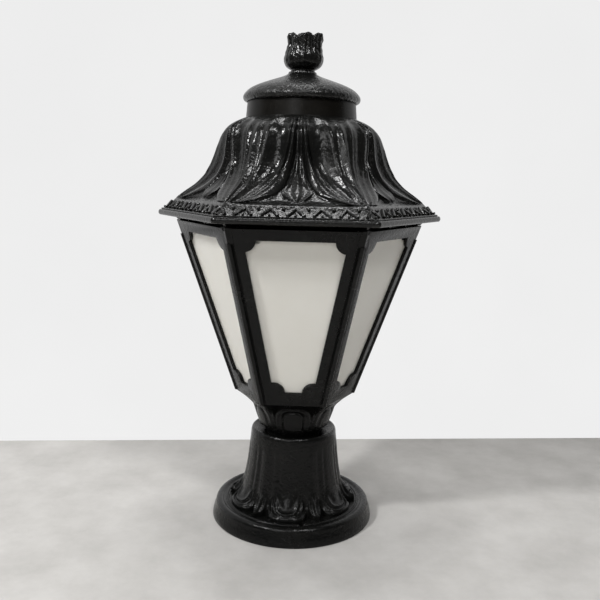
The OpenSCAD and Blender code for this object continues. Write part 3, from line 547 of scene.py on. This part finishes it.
# a point on the sloping band of the side at 270 degrees; across runs from -1 to 1 between its corners
def onBand(across, share):
    size = roofSizes
    angle = 270 + math.degrees(math.atan(across * math.tan(math.radians(30))))
    radius = float(roofBase(np.array([angle]), share)[0]) + bandSizes["proud"]
    z = size["crease"] + share * (size["top"] - size["crease"]) + bandSizes["proud"]
    a = math.radians(angle)
    return (radius * math.cos(a), radius * math.sin(a), z)


def makeBand():
    band = bandSizes
    pitch = 2 / band["teeth"]
    half = pitch * band["spread"]
    points, edges = [], []
    for k in range(band["teeth"]):                       # a chevron at each pitch, its feet apart from the next one's
        middle = -1 + pitch * k
        chevron = [onBand(max(middle - half, -1), band["low"]), onBand(middle, band["high"]),
                   onBand(middle + half, band["low"])]
        if k == 0:                                       # the one on a corner is bent round it
            chevron = chevron[1:]
            points += [onBand(1, band["high"]), onBand(1 - half, band["low"])]
            edges += [(0, 1)]
        start = len(points)
        points += chevron
        edges += [(start + i, start + i + 1) for i in range(len(chevron) - 1)]
    zigzag = bpy.data.meshes.new("zigzag")
    zigzag.from_pydata(points, edges, [])
    repeated("zigzagBand", zigzag, "bead", "roof", litBeadResin, Bead_radius=band["bead"], Corner_radius=band["bend"])
    for name, radius, share, offset in (("bandPearls", band["pearl"], band["high"] - band["dotInset"], 0.5),
                                        ("bandLeaves", band["leaf"], band["low"] + band["dotInset"], 0)):
        dots = bpy.data.meshes.new(name + "Places")
        dots.from_pydata([onBand(-1 + pitch * (k + offset), share) for k in range(band["teeth"])], [], [])
        repeated(name, dots, "pearls", "roof", litBeadResin, Pearl_radius=radius)
    rim = [onBand(-1 + k / 12, 0.001) for k in range(25)]
    repeated("bandRim", lineMesh("rim", rim), "bead", "roof", blackResin,
             Bead_radius=band["rim"], Corner_radius=band["rimBend"])


makeBand()
skirtSizes = {"outer": 66 * mm, "wall": 2.8 * mm, "low": roofLow[2], "high": 266 * mm,
              "shoulder": (239.7 * mm, 242.1 * mm), "reach": 4.5 * mm, "ribHalf": 1 * mm}


def makeSkirt():
    size = skirtSizes
    outer, inner = size["outer"], size["outer"] - size["wall"]
    low, high = size["shoulder"]
    outline = [(inner, size["low"]), (outer, size["low"]), (outer, low), (outer + size["reach"], low),
               (outer + size["reach"], high), (outer, high), (outer, size["high"]), (inner, size["high"])]
    finishPiece("roofSkirt", lathe("roofSkirt", softened(outline, 0.4 * mm, 2)), blackResin, "roof")
    ribLow = cageHigh[2] + 0.3 * mm
    ribSide = [(outer - 0.5 * mm, high - 1 * mm), (cageHigh[0] - 6 * mm, ribLow), (cageHigh[0] - 1 * mm, ribLow),
               (101 * mm, 246 * mm), (88 * mm, 258 * mm), (outer - 0.5 * mm, 264 * mm)]
    shape = bmesh.new()
    sides = [[shape.verts.new((r, y, z)) for r, z in ribSide] for y in (-size["ribHalf"], size["ribHalf"])]
    shape.faces.new(sides[0])
    shape.faces.new(sides[1][::-1])
    for i in range(len(ribSide)):
        shape.faces.new([sides[0][i - 1], sides[1][i - 1], sides[1][i], sides[0][i]])
    repeated("roofRibs", meshFrom(shape, "rib"), "round", "roof", blackResin)


makeSkirt()
print("roof made")

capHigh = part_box("cap")[1]
finialLow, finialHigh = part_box("finial")
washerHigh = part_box("finial_washer")[1]
capSizes = {
    "radius": capHigh[0], "low": 329.8 * mm, "top": capHigh[2], "neck": 10.1 * mm, "edge": 0.945, "bore": 2.6 * mm,
    # the inside, radius and height in mm: boss, dome, spigot, seat on the collar
    "inside": [(2.6, 323), (7, 323), (7, 342.5), (17.5, 340.5), (32.6, 335.5), (32.6, 327.8), (35.1, 327.8), (35.1, 331.7),
               (41.6, 331.7), (41.6, 329.8)],
}
# height share, radius share
capOutline = [
    (0, 0.955), (0.03, 0.98), (0.08, 0.995), (0.14, 1), (0.21, 0.992), (0.27, 0.972), (0.33, 0.945), (0.4, 0.905),
    (0.47, 0.848), (0.54, 0.775), (0.61, 0.685), (0.68, 0.585), (0.74, 0.495), (0.79, 0.42), (0.84, 0.35), (0.89, 0.29),
    (0.94, 0.25), (1, 0.235),
]


def makeCap():
    size = capSizes
    height = size["top"] - size["low"]
    outside = [(size["radius"] * float(smoothLine(capOutline, t)), size["low"] + t * height) for t in np.linspace(0, 1, 60)]
    seat = size["top"] - 1 * mm
    inside = [(size["neck"] - 1 * mm, size["top"]), (size["neck"] - 1.2 * mm, seat), (size["bore"], seat)]
    inside += [(r * mm, z * mm) for r, z in size["inside"]] + [(size["radius"] * size["edge"], size["low"])]
    finishPiece("capDome", lathe("capDome", outside + inside, 200), pebbledResin, "roof", ["cap"])


makeCap()
tulipSizes = {
    "radius": 15.0 * mm, "low": finialLow[2], "top": finialHigh[2] - 0.4 * mm, "bore": 2.6 * mm, "boreDepth": 13 * mm,
    "lean": 2.9, "shift": 0.25 * mm, "lip": washerHigh[0] + 0.45 * mm, "lipDrop": 0.85 * mm,      # the lip hides the washer
    "hollow": [(1.4, 0.4), (2.6, 1.3), (5, 3.4), (8, 5), (11, 4.2), (13.2, 3.2)],       # in from the edge and down, in mm
}
# height share, radius share
tulipOutline = [(0, 0.6), (0.03, 0.7), (0.08, 0.84), (0.16, 0.95), (0.26, 1), (0.36, 0.99), (0.46, 0.945), (0.56, 0.9),
                (0.66, 0.875), (0.76, 0.875), (0.86, 0.895), (0.94, 0.9), (1, 0.84)]


# uneven folds on the petals, in mm
def ragged(degrees, t):
    a = np.radians(degrees)
    fold = np.sin(5 * a + 7 * t) * np.sin(3 * a - 11 * t + 1) + 0.7 * np.sin(13 * a + 17 * t) * np.sin(23 * t + 2 * a)
    return 0.32 * fold * ease((t - 0.15) / 0.3)


# how far each point of the petals' uneven edge lies below the top, in mm
def tipDrop(degrees):
    a = np.radians(degrees)
    return 0.75 + 0.45 * np.sin(3 * a + 0.6) + 0.3 * np.sin(7 * a + 2) + 0.25 * np.sin(19 * a)


def makeTulip():
    size = tulipSizes
    height = size["top"] - size["low"]
    angles = np.arange(180) * 2.0
    petal = np.abs((angles + 30) % 60 - 30) / 30      # 0 between two petals, 1 on a petal's keel
    notch = 1.5 * (1 - ease(petal * 2.6)) + tipDrop(angles)
    lipLow = size["low"] - size["lipDrop"]
    rows = [polarRow(size["bore"], angles, size["low"] + size["boreDepth"]), polarRow(size["bore"], angles, size["low"]),
            polarRow(size["lip"], angles, size["low"]), polarRow(size["lip"], angles, lipLow),
            polarRow(size["lip"] + 0.8 * mm, angles, lipLow)]
    for t in np.linspace(0, 1, 54):
        groove = (0.45 + 0.9 * ease((t - 0.35) / 0.55)) * bell(petal, 0, 0.16)
        groove += 0.45 * ease((t - 0.2) / 0.5) * bell(petal, 0.72, 0.12)
        groove += ragged(angles, t) * ease(t / 0.2)
        keel = 0.55 * bell(petal, 1, 0.18) * ease((t - 0.05) / 0.2)
        radius = size["radius"] * float(smoothLine(tulipOutline, t)) + (keel - groove * ease(t / 0.1)) * mm
        flare = 0.7 * mm * ease((t - 0.8) / 0.2) * ease(petal)
        tip = ease((t - 0.6) / 0.4) * notch
        rows.append(polarRow(radius + flare, angles, size["low"] + t * height - tip * mm))
    edge = size["radius"] * tulipOutline[-1][1]
    for inset, drop in size["hollow"]:
        tip = notch * max(0, 1 - drop / 4)
        rows.append(polarRow(np.maximum(edge - inset * mm, 0.3 * mm), angles, size["top"] - (tip + drop) * mm))
    rows.append(polarRow(0.2 * mm, angles, size["top"] - 3 * mm))
    rows = np.array(rows)
    rows[..., 0] += size["shift"] + (rows[..., 2] - size["low"]) * math.tan(math.radians(size["lean"]))
    finishPiece("tulipFinial", skinMesh("tulipFinial", rows), blackResin, "finial", ["finial"], sharp=80)


makeTulip()
print("cap and finial made")

cageSizes = {
    "low": 103.5 * mm, "top": 239.4 * mm, "lowRadius": 47.8 * mm, "topRadius": 95.92 * mm, "wall": 2.8 * mm,
    "floorTop": 107 * mm, "bar": 10.8 * mm, "topRail": 8.3 * mm, "bottomRail": 10.3 * mm, "lobe": 8.6 * mm,
    "strip": 4.0 * mm, "soft": 0.45 * mm, "grooveEnd": 228.5 * mm, "bead": 1.75 * mm, "stemHole": 5.3 * mm,
    "ledge": (2.4 * mm, 1.8 * mm, 0.5 * mm),      # height, thickness and how far it stands out
    "gusset": (231.4 * mm, 235.5 * mm),           # low and high face
}
cageSlope = (cageSizes["topRadius"] - cageSizes["lowRadius"]) / (cageSizes["top"] - cageSizes["low"])


def cageRadius(z):
    return cageSizes["lowRadius"] + (z - cageSizes["low"]) * cageSlope


# window of one side, x across and y up the slope, with a round lobe in each corner
def windowOutline():
    size = cageSizes
    lean = cageSlope * halfAngleCos
    longer = math.hypot(1, lean)
    low, high = size["bottomRail"] * longer, (size["top"] - size["low"] - size["topRail"]) * longer
    lowHalf, highHalf = (size["lowRadius"] / 2 + y * cageSlope / longer / 2 - size["bar"] for y in (low, high))
    corners = [Vector((-lowHalf, low)), Vector((lowHalf, low)), Vector((highHalf, high)), Vector((-highHalf, high))]
    points = []
    for i, corner in enumerate(corners):
        back, on = (corners[i - 1] - corner).normalized(), (corners[(i + 1) % 4] - corner).normalized()
        first, last = math.atan2(back.y, back.x), math.atan2(on.y, on.x)
        turn = (last - first + math.pi) % (2 * math.pi) - math.pi
        for a in first + turn * np.linspace(0, 1, 15):
            points.append(corner + size["lobe"] * Vector((math.cos(a), math.sin(a))))
    return points


# flat plate from closed outlines with soft edges; its outer face is at z = 0
def plateMesh(name, outlines, thickness, soft):
    curve = bpy.data.curves.new(name, "CURVE")
    curve.dimensions, curve.fill_mode = "2D", "BOTH"
    curve.extrude, curve.bevel_depth, curve.bevel_resolution, curve.offset = thickness / 2 - soft, soft, 2, -soft
    for outline in outlines:
        spline = curve.splines.new("POLY")
        spline.points.add(len(outline) - 1)
        spline.use_cyclic_u = True
        for point, (x, y) in zip(spline.points, outline):
            point.co = (x, y, 0, 1)
    holder = newObject(name, curve)
    mesh = bpy.data.meshes.new_from_object(holder.evaluated_get(bpy.context.evaluated_depsgraph_get()))
    bpy.data.objects.remove(holder)
    mesh.transform(Matrix.Translation((0, 0, -thickness / 2)))
    return mesh


# from the plane of a side, x across and y up its slope, to the side that faces +X
def onSide():
    size = cageSizes
    lean = math.atan(cageSlope * halfAngleCos)
    stand = Matrix(((0, 0, 1, 0), (1, 0, 0, 0), (0, 1, 0, 0), (0, 0, 0, 1)))
    place = Matrix.Translation((size["lowRadius"] * halfAngleCos, 0, size["low"]))
    return place @ Matrix.Rotation(lean, 4, "Y") @ stand


# section of a corner, moved out with height by shift(z)
def prismMesh(name, outline, low, high, shift=lambda z: 0):
    shape = bmesh.new()
    ends = [[shape.verts.new((x + shift(z), y, z)) for x, y in outline] for z in (low, high)]
    shape.faces.new(ends[0][::-1])
    shape.faces.new(ends[1])
    for i in range(len(outline)):
        shape.faces.new([ends[0][i - 1], ends[0][i], ends[1][i], ends[1][i - 1]])
    return meshFrom(shape, name)


# point beside a corner of the hexagon, along one of its faces and in from it
def alongFace(distance, depth, side):
    return (-0.5 * distance - halfAngleCos * depth, side * (halfAngleCos * distance - 0.5 * depth))


def cornerOutline(grooved):
    size = cageSizes
    if grooved:
        groove = [(3.75, 0.05), (3.5, 0.3), (3.25, 0.75), (2.95, 1.0), (2.65, 0.9), (2.42, 0.55)]      # along and in, in mm
        face = [alongFace(size["strip"], 0, 1)] + [alongFace(along * mm, depth * mm, 1) for along, depth in groove]
        face += [(size["bead"] * math.cos(a) - 1 * mm, size["bead"] * math.sin(a)) for a in np.radians(range(84, -1, -14))]
    else:
        softCorner = ((4, 0), (1.5, 0), (0.8, 0.02), (0.3, 0.12))
        face = [alongFace(along * mm, depth * mm, 1) for along, depth in softCorner] + [(-0.3 * mm, 0)]
    inner = [alongFace(size["strip"], size["wall"], 1), (-size["wall"] / halfAngleCos, 0),
             alongFace(size["strip"], size["wall"], -1)]
    return [(x, -y) for x, y in face] + face[-2::-1] + inner


def makeCage():
    size = cageSizes
    lean = cageSlope * halfAngleCos
    longer = math.hypot(1, lean)
    height = (size["top"] - size["low"]) * longer
    lowHalf, highHalf = (size[key] / 2 - size["strip"] for key in ("lowRadius", "topRadius"))
    border = [(-lowHalf, 0), (lowHalf, 0), (highHalf, height), (-highHalf, height)]
    panel = plateMesh("panel", [border, windowOutline()], size["wall"], size["soft"])
    panel.transform(onSide())
    repeated("cagePanels", panel, "round", "base", shadedLowerResin, nodes=["cage"], First_angle=30.0)
    deep, thick, proud = size["ledge"]
    end = highHalf + 1 * mm
    border = [(-end, height - deep), (end, height - deep), (end, height), (-end, height)]
    ledge = plateMesh("ledge", [border], thick, 0.3 * mm)
    ledge.transform(Matrix.Translation((0, 0, proud)))
    ledge.transform(onSide())
    repeated("railLedges", ledge, "round", "base", shadedLowerResin, First_angle=30.0)
    bead = prismMesh("bead", cornerOutline(True), size["low"], size["grooveEnd"], cageRadius)
    repeated("cornerBeads", bead, "round", "base", shadedLowerResin, sharp=50)
    plain = prismMesh("plain", cornerOutline(False), size["grooveEnd"], size["top"], cageRadius)
    repeated("cornerTops", plain, "round", "base", shadedLowerResin, sharp=50)
    outerPad, innerPad = size["topRadius"] - 0.5 * mm, size["topRadius"] - 3.3 * mm
    pad = [(outerPad, 0), (outerPad - 3.7 * mm, 6.4 * mm), (outerPad - 6.1 * mm, 5 * mm), (innerPad, 0),
           (outerPad - 6.1 * mm, -5 * mm), (outerPad - 3.7 * mm, -6.4 * mm)]
    padMesh = prismMesh("pad", pad[::-1], size["top"] - 1 * mm, cageHigh[2])
    repeated("roofPads", padMesh, "round", "base", shadedLowerResin)
    gusset = prismMesh("gusset", [(82.6 * mm, -14 * mm), (91 * mm, 0), (82.6 * mm, 14 * mm)], *size["gusset"])
    repeated("screwGussets", gusset, "round", "base", shadedLowerResin, Count=3)
    angles = np.arange(0, 360, 2.0)
    hexagon = hexagonShare(angles)
    floorLow = size["low"] + 0.3 * mm
    rows = [polarRow((size["lowRadius"] - 0.5 * mm) * hexagon, angles, floorLow),
            polarRow((cageRadius(size["floorTop"]) - 1.5 * mm) * hexagon, angles, size["floorTop"]),
            polarRow(size["stemHole"], angles, size["floorTop"]), polarRow(size["stemHole"], angles, floorLow)]
    finishPiece("cageFloor", skinMesh("cageFloor", rows, ring=True), shadedLowerResin, "base")


makeCage()
calyxSizes = {
    "low": 78 * mm, "top": 103.5 * mm, "lowRadius": 27.6 * mm, "neckRadius": 22 * mm, "neckLow": 60 * mm, "bore": 19.2 * mm,
    "outerArch": 28.0, "innerArch": 16.0, "outerTop": 0.8, "innerTop": 0.66,
    "inside": [(27, 101), (26, 92), (19.2, 79)],      # radius and height in mm
}
# height share, radius share: on the ribs at the corners and on the sides between them
ribOutline = [(0, 0), (0.2, 0.1), (0.4, 0.19), (0.56, 0.27), (0.66, 0.37), (0.76, 0.53), (0.88, 0.73), (1, 0.95)]
sideOutline = [(0, 0), (0.2, 0.07), (0.4, 0.14), (0.56, 0.2), (0.66, 0.24), (0.76, 0.3), (0.88, 0.48), (1, 0.64)]


def makeCalyx():
    size = calyxSizes
    angles = np.arange(480) * 0.75
    fromCorner = np.abs((angles + 30) % 60 - 30)
    fromMiddle = 30 - fromCorner
    reach = cageSizes["lowRadius"] - size["lowRadius"]
    rows = [polarRow(size["neckRadius"] - 1 * mm, angles, size["low"])]
    for t in np.linspace(0, 1, 84):
        rib, side = float(smoothLine(ribOutline, t)), float(smoothLine(sideOutline, t))
        radius = size["lowRadius"] + reach * (rib + (side - rib) * ease(fromCorner / 20))
        outer = (fromMiddle / size["outerArch"]) ** 3 + (t / size["outerTop"]) ** 3.4      # 1 on the arch
        inner = (fromMiddle / size["innerArch"]) ** 3 + (t / size["innerTop"]) ** 3.4
        relief = -0.8 * bell(outer, 1, 0.12) + 0.45 * bell(outer, 0.7, 0.2)
        relief += 0.35 * bell(outer, 1.35, 0.2) * ease((30 - fromMiddle) / 3)
        relief += -0.75 * bell(inner, 1, 0.17) + 0.5 * ease((1 - inner) / 0.6) + 0.3 * bell(inner, 1.6, 0.3)
        fade = ease((1 - t) / 0.12) * ease(t / 0.03 + 0.3)
        rows.append(polarRow(radius + relief * fade * mm, angles, size["low"] + t * (size["top"] - size["low"])))
    rows.append(polarRow((cageSizes["lowRadius"] - 1.2 * mm) * hexagonShare(angles), angles, size["top"] + 1 * mm))
    rows += [polarRow(radius * mm, angles, z * mm) for radius, z in size["inside"]]
    finishPiece("calyxCup", skinMesh("calyxCup", rows, ring=True), shadedLowerResin, "base", sharp=70)
    neckTop = size["low"] + 0.6 * mm
    neck = [(size["bore"], size["neckLow"]), (size["neckRadius"], size["neckLow"]), (size["neckRadius"], neckTop),
            (size["bore"], neckTop)]
    finishPiece("calyxNeck", lathe("calyxNeck", softened(neck, 0.5 * mm, 3)), shadedLowerResin, "base")


makeCalyx()
print("cage made")

footSizes = {
    "radius": 65.1 * mm, "top": 14.5 * mm, "flange": 13.1 * mm, "wall": 2.8 * mm, "crest": 3.5 * mm,
    "rings": ((53.8 * mm, 0.75 * mm), (52.15 * mm, 0.55 * mm)), "ringHalf": 0.75 * mm,      # radius and height of each
    "holeCircle": 52 * mm, "hole": 2.75 * mm, "firstHole": 39.5, "holeCount": 3,
    # distance in from the radius, and height, in mm
    "outside": [(3.2, 0), (0.5, 0), (0, 0.5), (0.2, 3), (1.1, 6.5), (2.2, 9.4)],
}


def makeFoot():
    size = footSizes
    r, top, flange, wall, crest = (size[key] for key in ("radius", "top", "flange", "wall", "crest"))
    outline = [(r - inward * mm, z * mm) for inward, z in size["outside"]]
    for a in np.radians(np.arange(10, 91, 10)):
        outline.append((r - 6 * mm + crest * math.cos(a), top - crest + crest * math.sin(a)))
    outline += [(r - 6.9 * mm, top), (r - 7.7 * mm, top - 0.25 * mm), (r - 8.3 * mm, top - 0.9 * mm),
                (r - 8.7 * mm, flange + 0.1 * mm), (r - 9.4 * mm, flange)]
    for middle, high in size["rings"]:
        for a in np.radians(np.arange(0, 181, 30)):
            outline.append((middle + size["ringHalf"] * math.cos(a), flange + high * math.sin(a)))
    outline += [(radius * mm, flange) for radius in (51, 46, 41, 38)]
    outline += [(38 * mm, flange - wall), (r - 7 * mm, flange - wall), (r - 3.6 * mm, flange - wall - 2.5 * mm)]
    foot = lathe("pedestalFoot", outline, 240)
    holder = newObject("footHolder", foot)
    shape = bmesh.new()
    shape.from_mesh(foot)
    bmesh.ops.recalc_face_normals(shape, faces=shape.faces)
    shape.to_mesh(foot)
    shape.free()
    drill = bmesh.new()
    for k in range(size["holeCount"]):
        a = math.radians(size["firstHole"] + 360 * k / size["holeCount"])
        place = Matrix.Translation((size["holeCircle"] * math.cos(a), size["holeCircle"] * math.sin(a), flange))
        bmesh.ops.create_cone(drill, cap_ends=True, segments=40, radius1=size["hole"], radius2=size["hole"],
                              depth=12 * mm, matrix=place)
    bits = bpy.data.meshes.new("drill")
    drill.to_mesh(bits)
    drill.free()
    tool = newObject("drill", bits)
    cut = holder.modifiers.new("holes", "BOOLEAN")
    cut.operation, cut.object, cut.solver = "DIFFERENCE", tool, "EXACT"
    drilled = bpy.data.meshes.new_from_object(holder.evaluated_get(bpy.context.evaluated_depsgraph_get()))
    bpy.data.objects.remove(holder)
    bpy.data.objects.remove(tool)
    finishPiece("pedestalFoot", drilled, shadedLowerResin, "base", ["pedestal"], sharp=50)


bellSizes = {
    "turn": -4.0, "tongue": 50.9 * mm, "dart": 50.2 * mm, "recess": 43.5 * mm, "tipStart": 41 * mm,
    "tongueHalf": 20, "dartHalf": 6.5, "columns": 600, "rows": 132,      # half widths in degrees
    # the edge down to the flange: share of the way, and distance out in mm
    "edge": ((0.12, 0.35), (0.35, 0.55), (0.7, 0.6), (1.0, 0.6)),
    # radius and height up the inside, over the seat and out at the mouth, in mm
    "inside": ((37, 12), (34.5, 25), (33, 40), (31.8, 57.2), (5.3, 57.2), (5.3, 60), (22.3, 60), (22.3, 69), (30.2, 73.2)),
}
# radius and height down the bell, from its mouth to the tips of its leaves, in mm
bellLine = [
    (31.2, 73.5), (31.6, 74.1), (32.3, 74.4), (33.1, 74.2), (33.8, 73.4), (34.3, 71.8), (34.6, 69), (35.0, 65), (35.6, 58),
    (36.3, 51), (37.2, 44), (38.3, 37.5), (39.5, 31.5), (41, 26.5), (43, 22.2), (45.5, 19.0), (48, 17.2), (50.5, 16.1),
    (53, 15.6),
]


def makeBell():
    size = bellSizes
    line = np.array(bellLine) * mm
    steps = np.r_[0, np.cumsum(np.hypot(*np.diff(line, axis=0).T))]
    steps /= steps[-1]
    angles = np.arange(size["columns"]) * 360 / size["columns"]
    fromDart = np.abs((angles + 30) % 60 - 30)           # 0 on a dart, 30 in the middle of a tongue
    fromTongue = 30 - fromDart
    tongue = np.clip(1 - (fromTongue / size["tongueHalf"]) ** 2.4, 0, 1) ** 0.5      # a round tip
    dart = np.clip(1 - fromDart / size["dartHalf"], 0, 1) ** 0.8                      # a pointed one
    reach = size["recess"] + (size["tongue"] - size["recess"]) * tongue + (size["dart"] - size["recess"]) * dart
    radii, heights = list(zip(steps, line[:, 0])), list(zip(steps, line[:, 1]))
    ends = np.interp(reach, line[4:, 0], steps[4:])
    rows = []
    for s in np.linspace(0, 1, size["rows"]) ** 0.9:
        here = s * ends
        radius, z = smoothLine(radii, here), smoothLine(heights, here)
        ahead = np.minimum(here + 0.004, 1)
        dr = smoothLine(radii, ahead) - radius + 1e-9
        dz = smoothLine(heights, ahead) - z - 1e-9
        length = np.hypot(dr, dz)
        outR, outZ = -dz / length, dr / length
        height = z / mm
        down = ease((68 - height) / 10)
        low = ease((34 - height) / 14)
        relief = -down * (0.7 + 1.6 * low) * bell(fromDart, 9.5, 3.6 + 1.0 * low)
        relief += down * (0.35 + 0.6 * low) * bell(fromDart, 0, 3.0)
        relief += -down * 0.45 * (1 - low) * bell(fromTongue, 11.5, 2.5)
        relief += low * 0.5 * bell(fromTongue, 0, 11)
        flat = ease((30 - height) / 8)
        along = np.clip(1 - (reach - radius) / (size["tongue"] - size["tipStart"]), 0, 1)      # 1 at the tip's edge
        hoop = ((fromTongue / 19.5) ** 2.4 + along ** 2.4) ** (1 / 2.4)
        hoops = 0.95 * bell(hoop, 0.93, 0.07) - 0.75 * bell(hoop, 0.77, 0.07) + 0.8 * bell(hoop, 0.6, 0.08)
        relief += flat * (hoops - 0.5 * bell(hoop, 0.35, 0.15))
        point = 1.0 * bell(fromDart, 0, 1.1) + 0.7 * bell(fromDart, 5.5, 1.2) - 0.5 * bell(fromDart, 3, 1.0)
        relief += flat * point * ease((9 - fromDart) / 3)
        rows.append(polarRow(radius + outR * relief * mm, angles, z + outZ * relief * mm))
    last = rows[-1]
    edgeR, edgeZ = np.hypot(last[:, 0], last[:, 1]), last[:, 2]
    base = footSizes["flange"] - 0.3 * mm
    for share, out in size["edge"]:
        rows.append(polarRow(edgeR + out * mm, angles, edgeZ + (base - edgeZ) * share))
    rows += [polarRow(radius * mm, angles, z * mm) for radius, z in size["inside"]]
    mesh = skinMesh("pedestalBell", rows, ring=True)
    mesh.transform(Matrix.Rotation(math.radians(size["turn"]), 4, "Z"))
    finishPiece("pedestalBell", mesh, shadedLowerResin, "base", sharp=75)


makeFoot()
makeBell()
print("pedestal made")

stageSizes = {"wallAt": (-303.4 * mm, 136.1 * mm), "wallTo": (331.4 * mm, 202.0 * mm), "reach": 3.0, "height": 2.4}
stageTones = {"floor": ((0.42, 0.409, 0.393), (0.51, 0.499, 0.482)), "wall": ((0.845, 0.845, 0.845), (0.87, 0.87, 0.87))}


def stageFinish(name, tones, scale, detail, spread, rough):
    material, nodes, links, shader = newMaterial(name)
    clouds = objectNoise(nodes, links, scale, detail, spread)
    tone = ramp(nodes, links, clouds, [(0.35, tones[0]), (0.65, tones[1])])
    links.new(tone, shader.inputs["Base Color"])
    shader.inputs["Roughness"].default_value = rough
    return material, nodes, links, shader, tone


# shows its own pale tone to the camera and in reflections, takes light as plaster does, and is clear from behind
def wallFinish():
    material, nodes, links, shader, tone = stageFinish("whiteWall", stageTones["wall"], 3, 4, 0.6, 0.8)
    seen, glow, mix = (nodes.new(kind) for kind in ("ShaderNodeLightPath", "ShaderNodeEmission", "ShaderNodeMixShader"))
    links.new(tone, glow.inputs["Color"])
    either = seen.outputs["Is Camera Ray"]
    for ray in ("Is Glossy Ray", "Is Transmission Ray"):
        larger = nodes.new("ShaderNodeMath")
        larger.operation = "MAXIMUM"
        links.new(either, larger.inputs[0])
        links.new(seen.outputs[ray], larger.inputs[1])
        either = larger.outputs["Value"]
    links.new(either, mix.inputs["Fac"])
    links.new(shader.outputs["BSDF"], mix.inputs[1])
    links.new(glow.outputs["Emission"], mix.inputs[2])
    side, clear, oneSided = (nodes.new(kind) for kind in
                             ("ShaderNodeNewGeometry", "ShaderNodeBsdfTransparent", "ShaderNodeMixShader"))
    links.new(side.outputs["Backfacing"], oneSided.inputs["Fac"])
    links.new(mix.outputs["Shader"], oneSided.inputs[1])
    links.new(clear.outputs["BSDF"], oneSided.inputs[2])
    links.new(oneSided.outputs["Shader"], nodes["Material Output"].inputs["Surface"])
    return material


def makeStage():
    a, b = (Vector((*stageSizes[key], 0)) for key in ("wallAt", "wallTo"))
    along = (b - a).normalized() * stageSizes["reach"]
    front = Vector((along.y, -along.x, 0))
    left, right, up = (a + b) / 2 - along, (a + b) / 2 + along, Vector((0, 0, stageSizes["height"]))
    corners = {"floor": [left + front, right + front, right, left], "wall": [left, right, right + up, left + up]}
    finishes = {"floor": stageFinish("paleFloor", stageTones["floor"], 17, 5, 0.65, 0.75)[0], "wall": wallFinish()}
    for name in corners:
        mesh = bpy.data.meshes.new(name)
        mesh.from_pydata(corners[name], [], [(0, 1, 2, 3)])
        mesh.materials.append(finishes[name])
        newObject(name, mesh)


# watts, metres; all aim at the middle of the lantern
lamps = {
    "left": {"at": (-0.85, -0.7, 1.2), "size": 0.14, "power": 14},
    "right": {"at": (0.45, -0.95, 1.3), "size": 0.14, "power": 8.5},
    "overhead": {"at": (-0.05, 0.16, 1.5), "size": 0.3, "power": 7.5},
    "room": {"at": (-0.5, -1.9, 1.15), "size": 0.8, "power": 8.5},
}
lampAim = Vector((0, 0, 0.2))
worldLight = {"colour": (0.62, 0.61, 0.6, 1), "strength": 0.16}


def makeLight():
    world = bpy.data.worlds.new("room")
    world.use_nodes = True
    background = world.node_tree.nodes["Background"]
    background.inputs["Color"].default_value = worldLight["colour"]
    background.inputs["Strength"].default_value = worldLight["strength"]
    bpy.context.scene.world = world
    for name, facts in lamps.items():
        light = bpy.data.lights.new(name, "AREA")
        light.size, light.energy = facts["size"], facts["power"]
        lamp = newObject(name, light)
        lamp.location = facts["at"]
        lamp.rotation_euler = (lampAim - lamp.location).to_track_quat("-Z", "Y").to_euler()


makeStage()
makeLight()
bpy.context.scene.view_settings.view_transform = "Standard"
print("stage and light made")
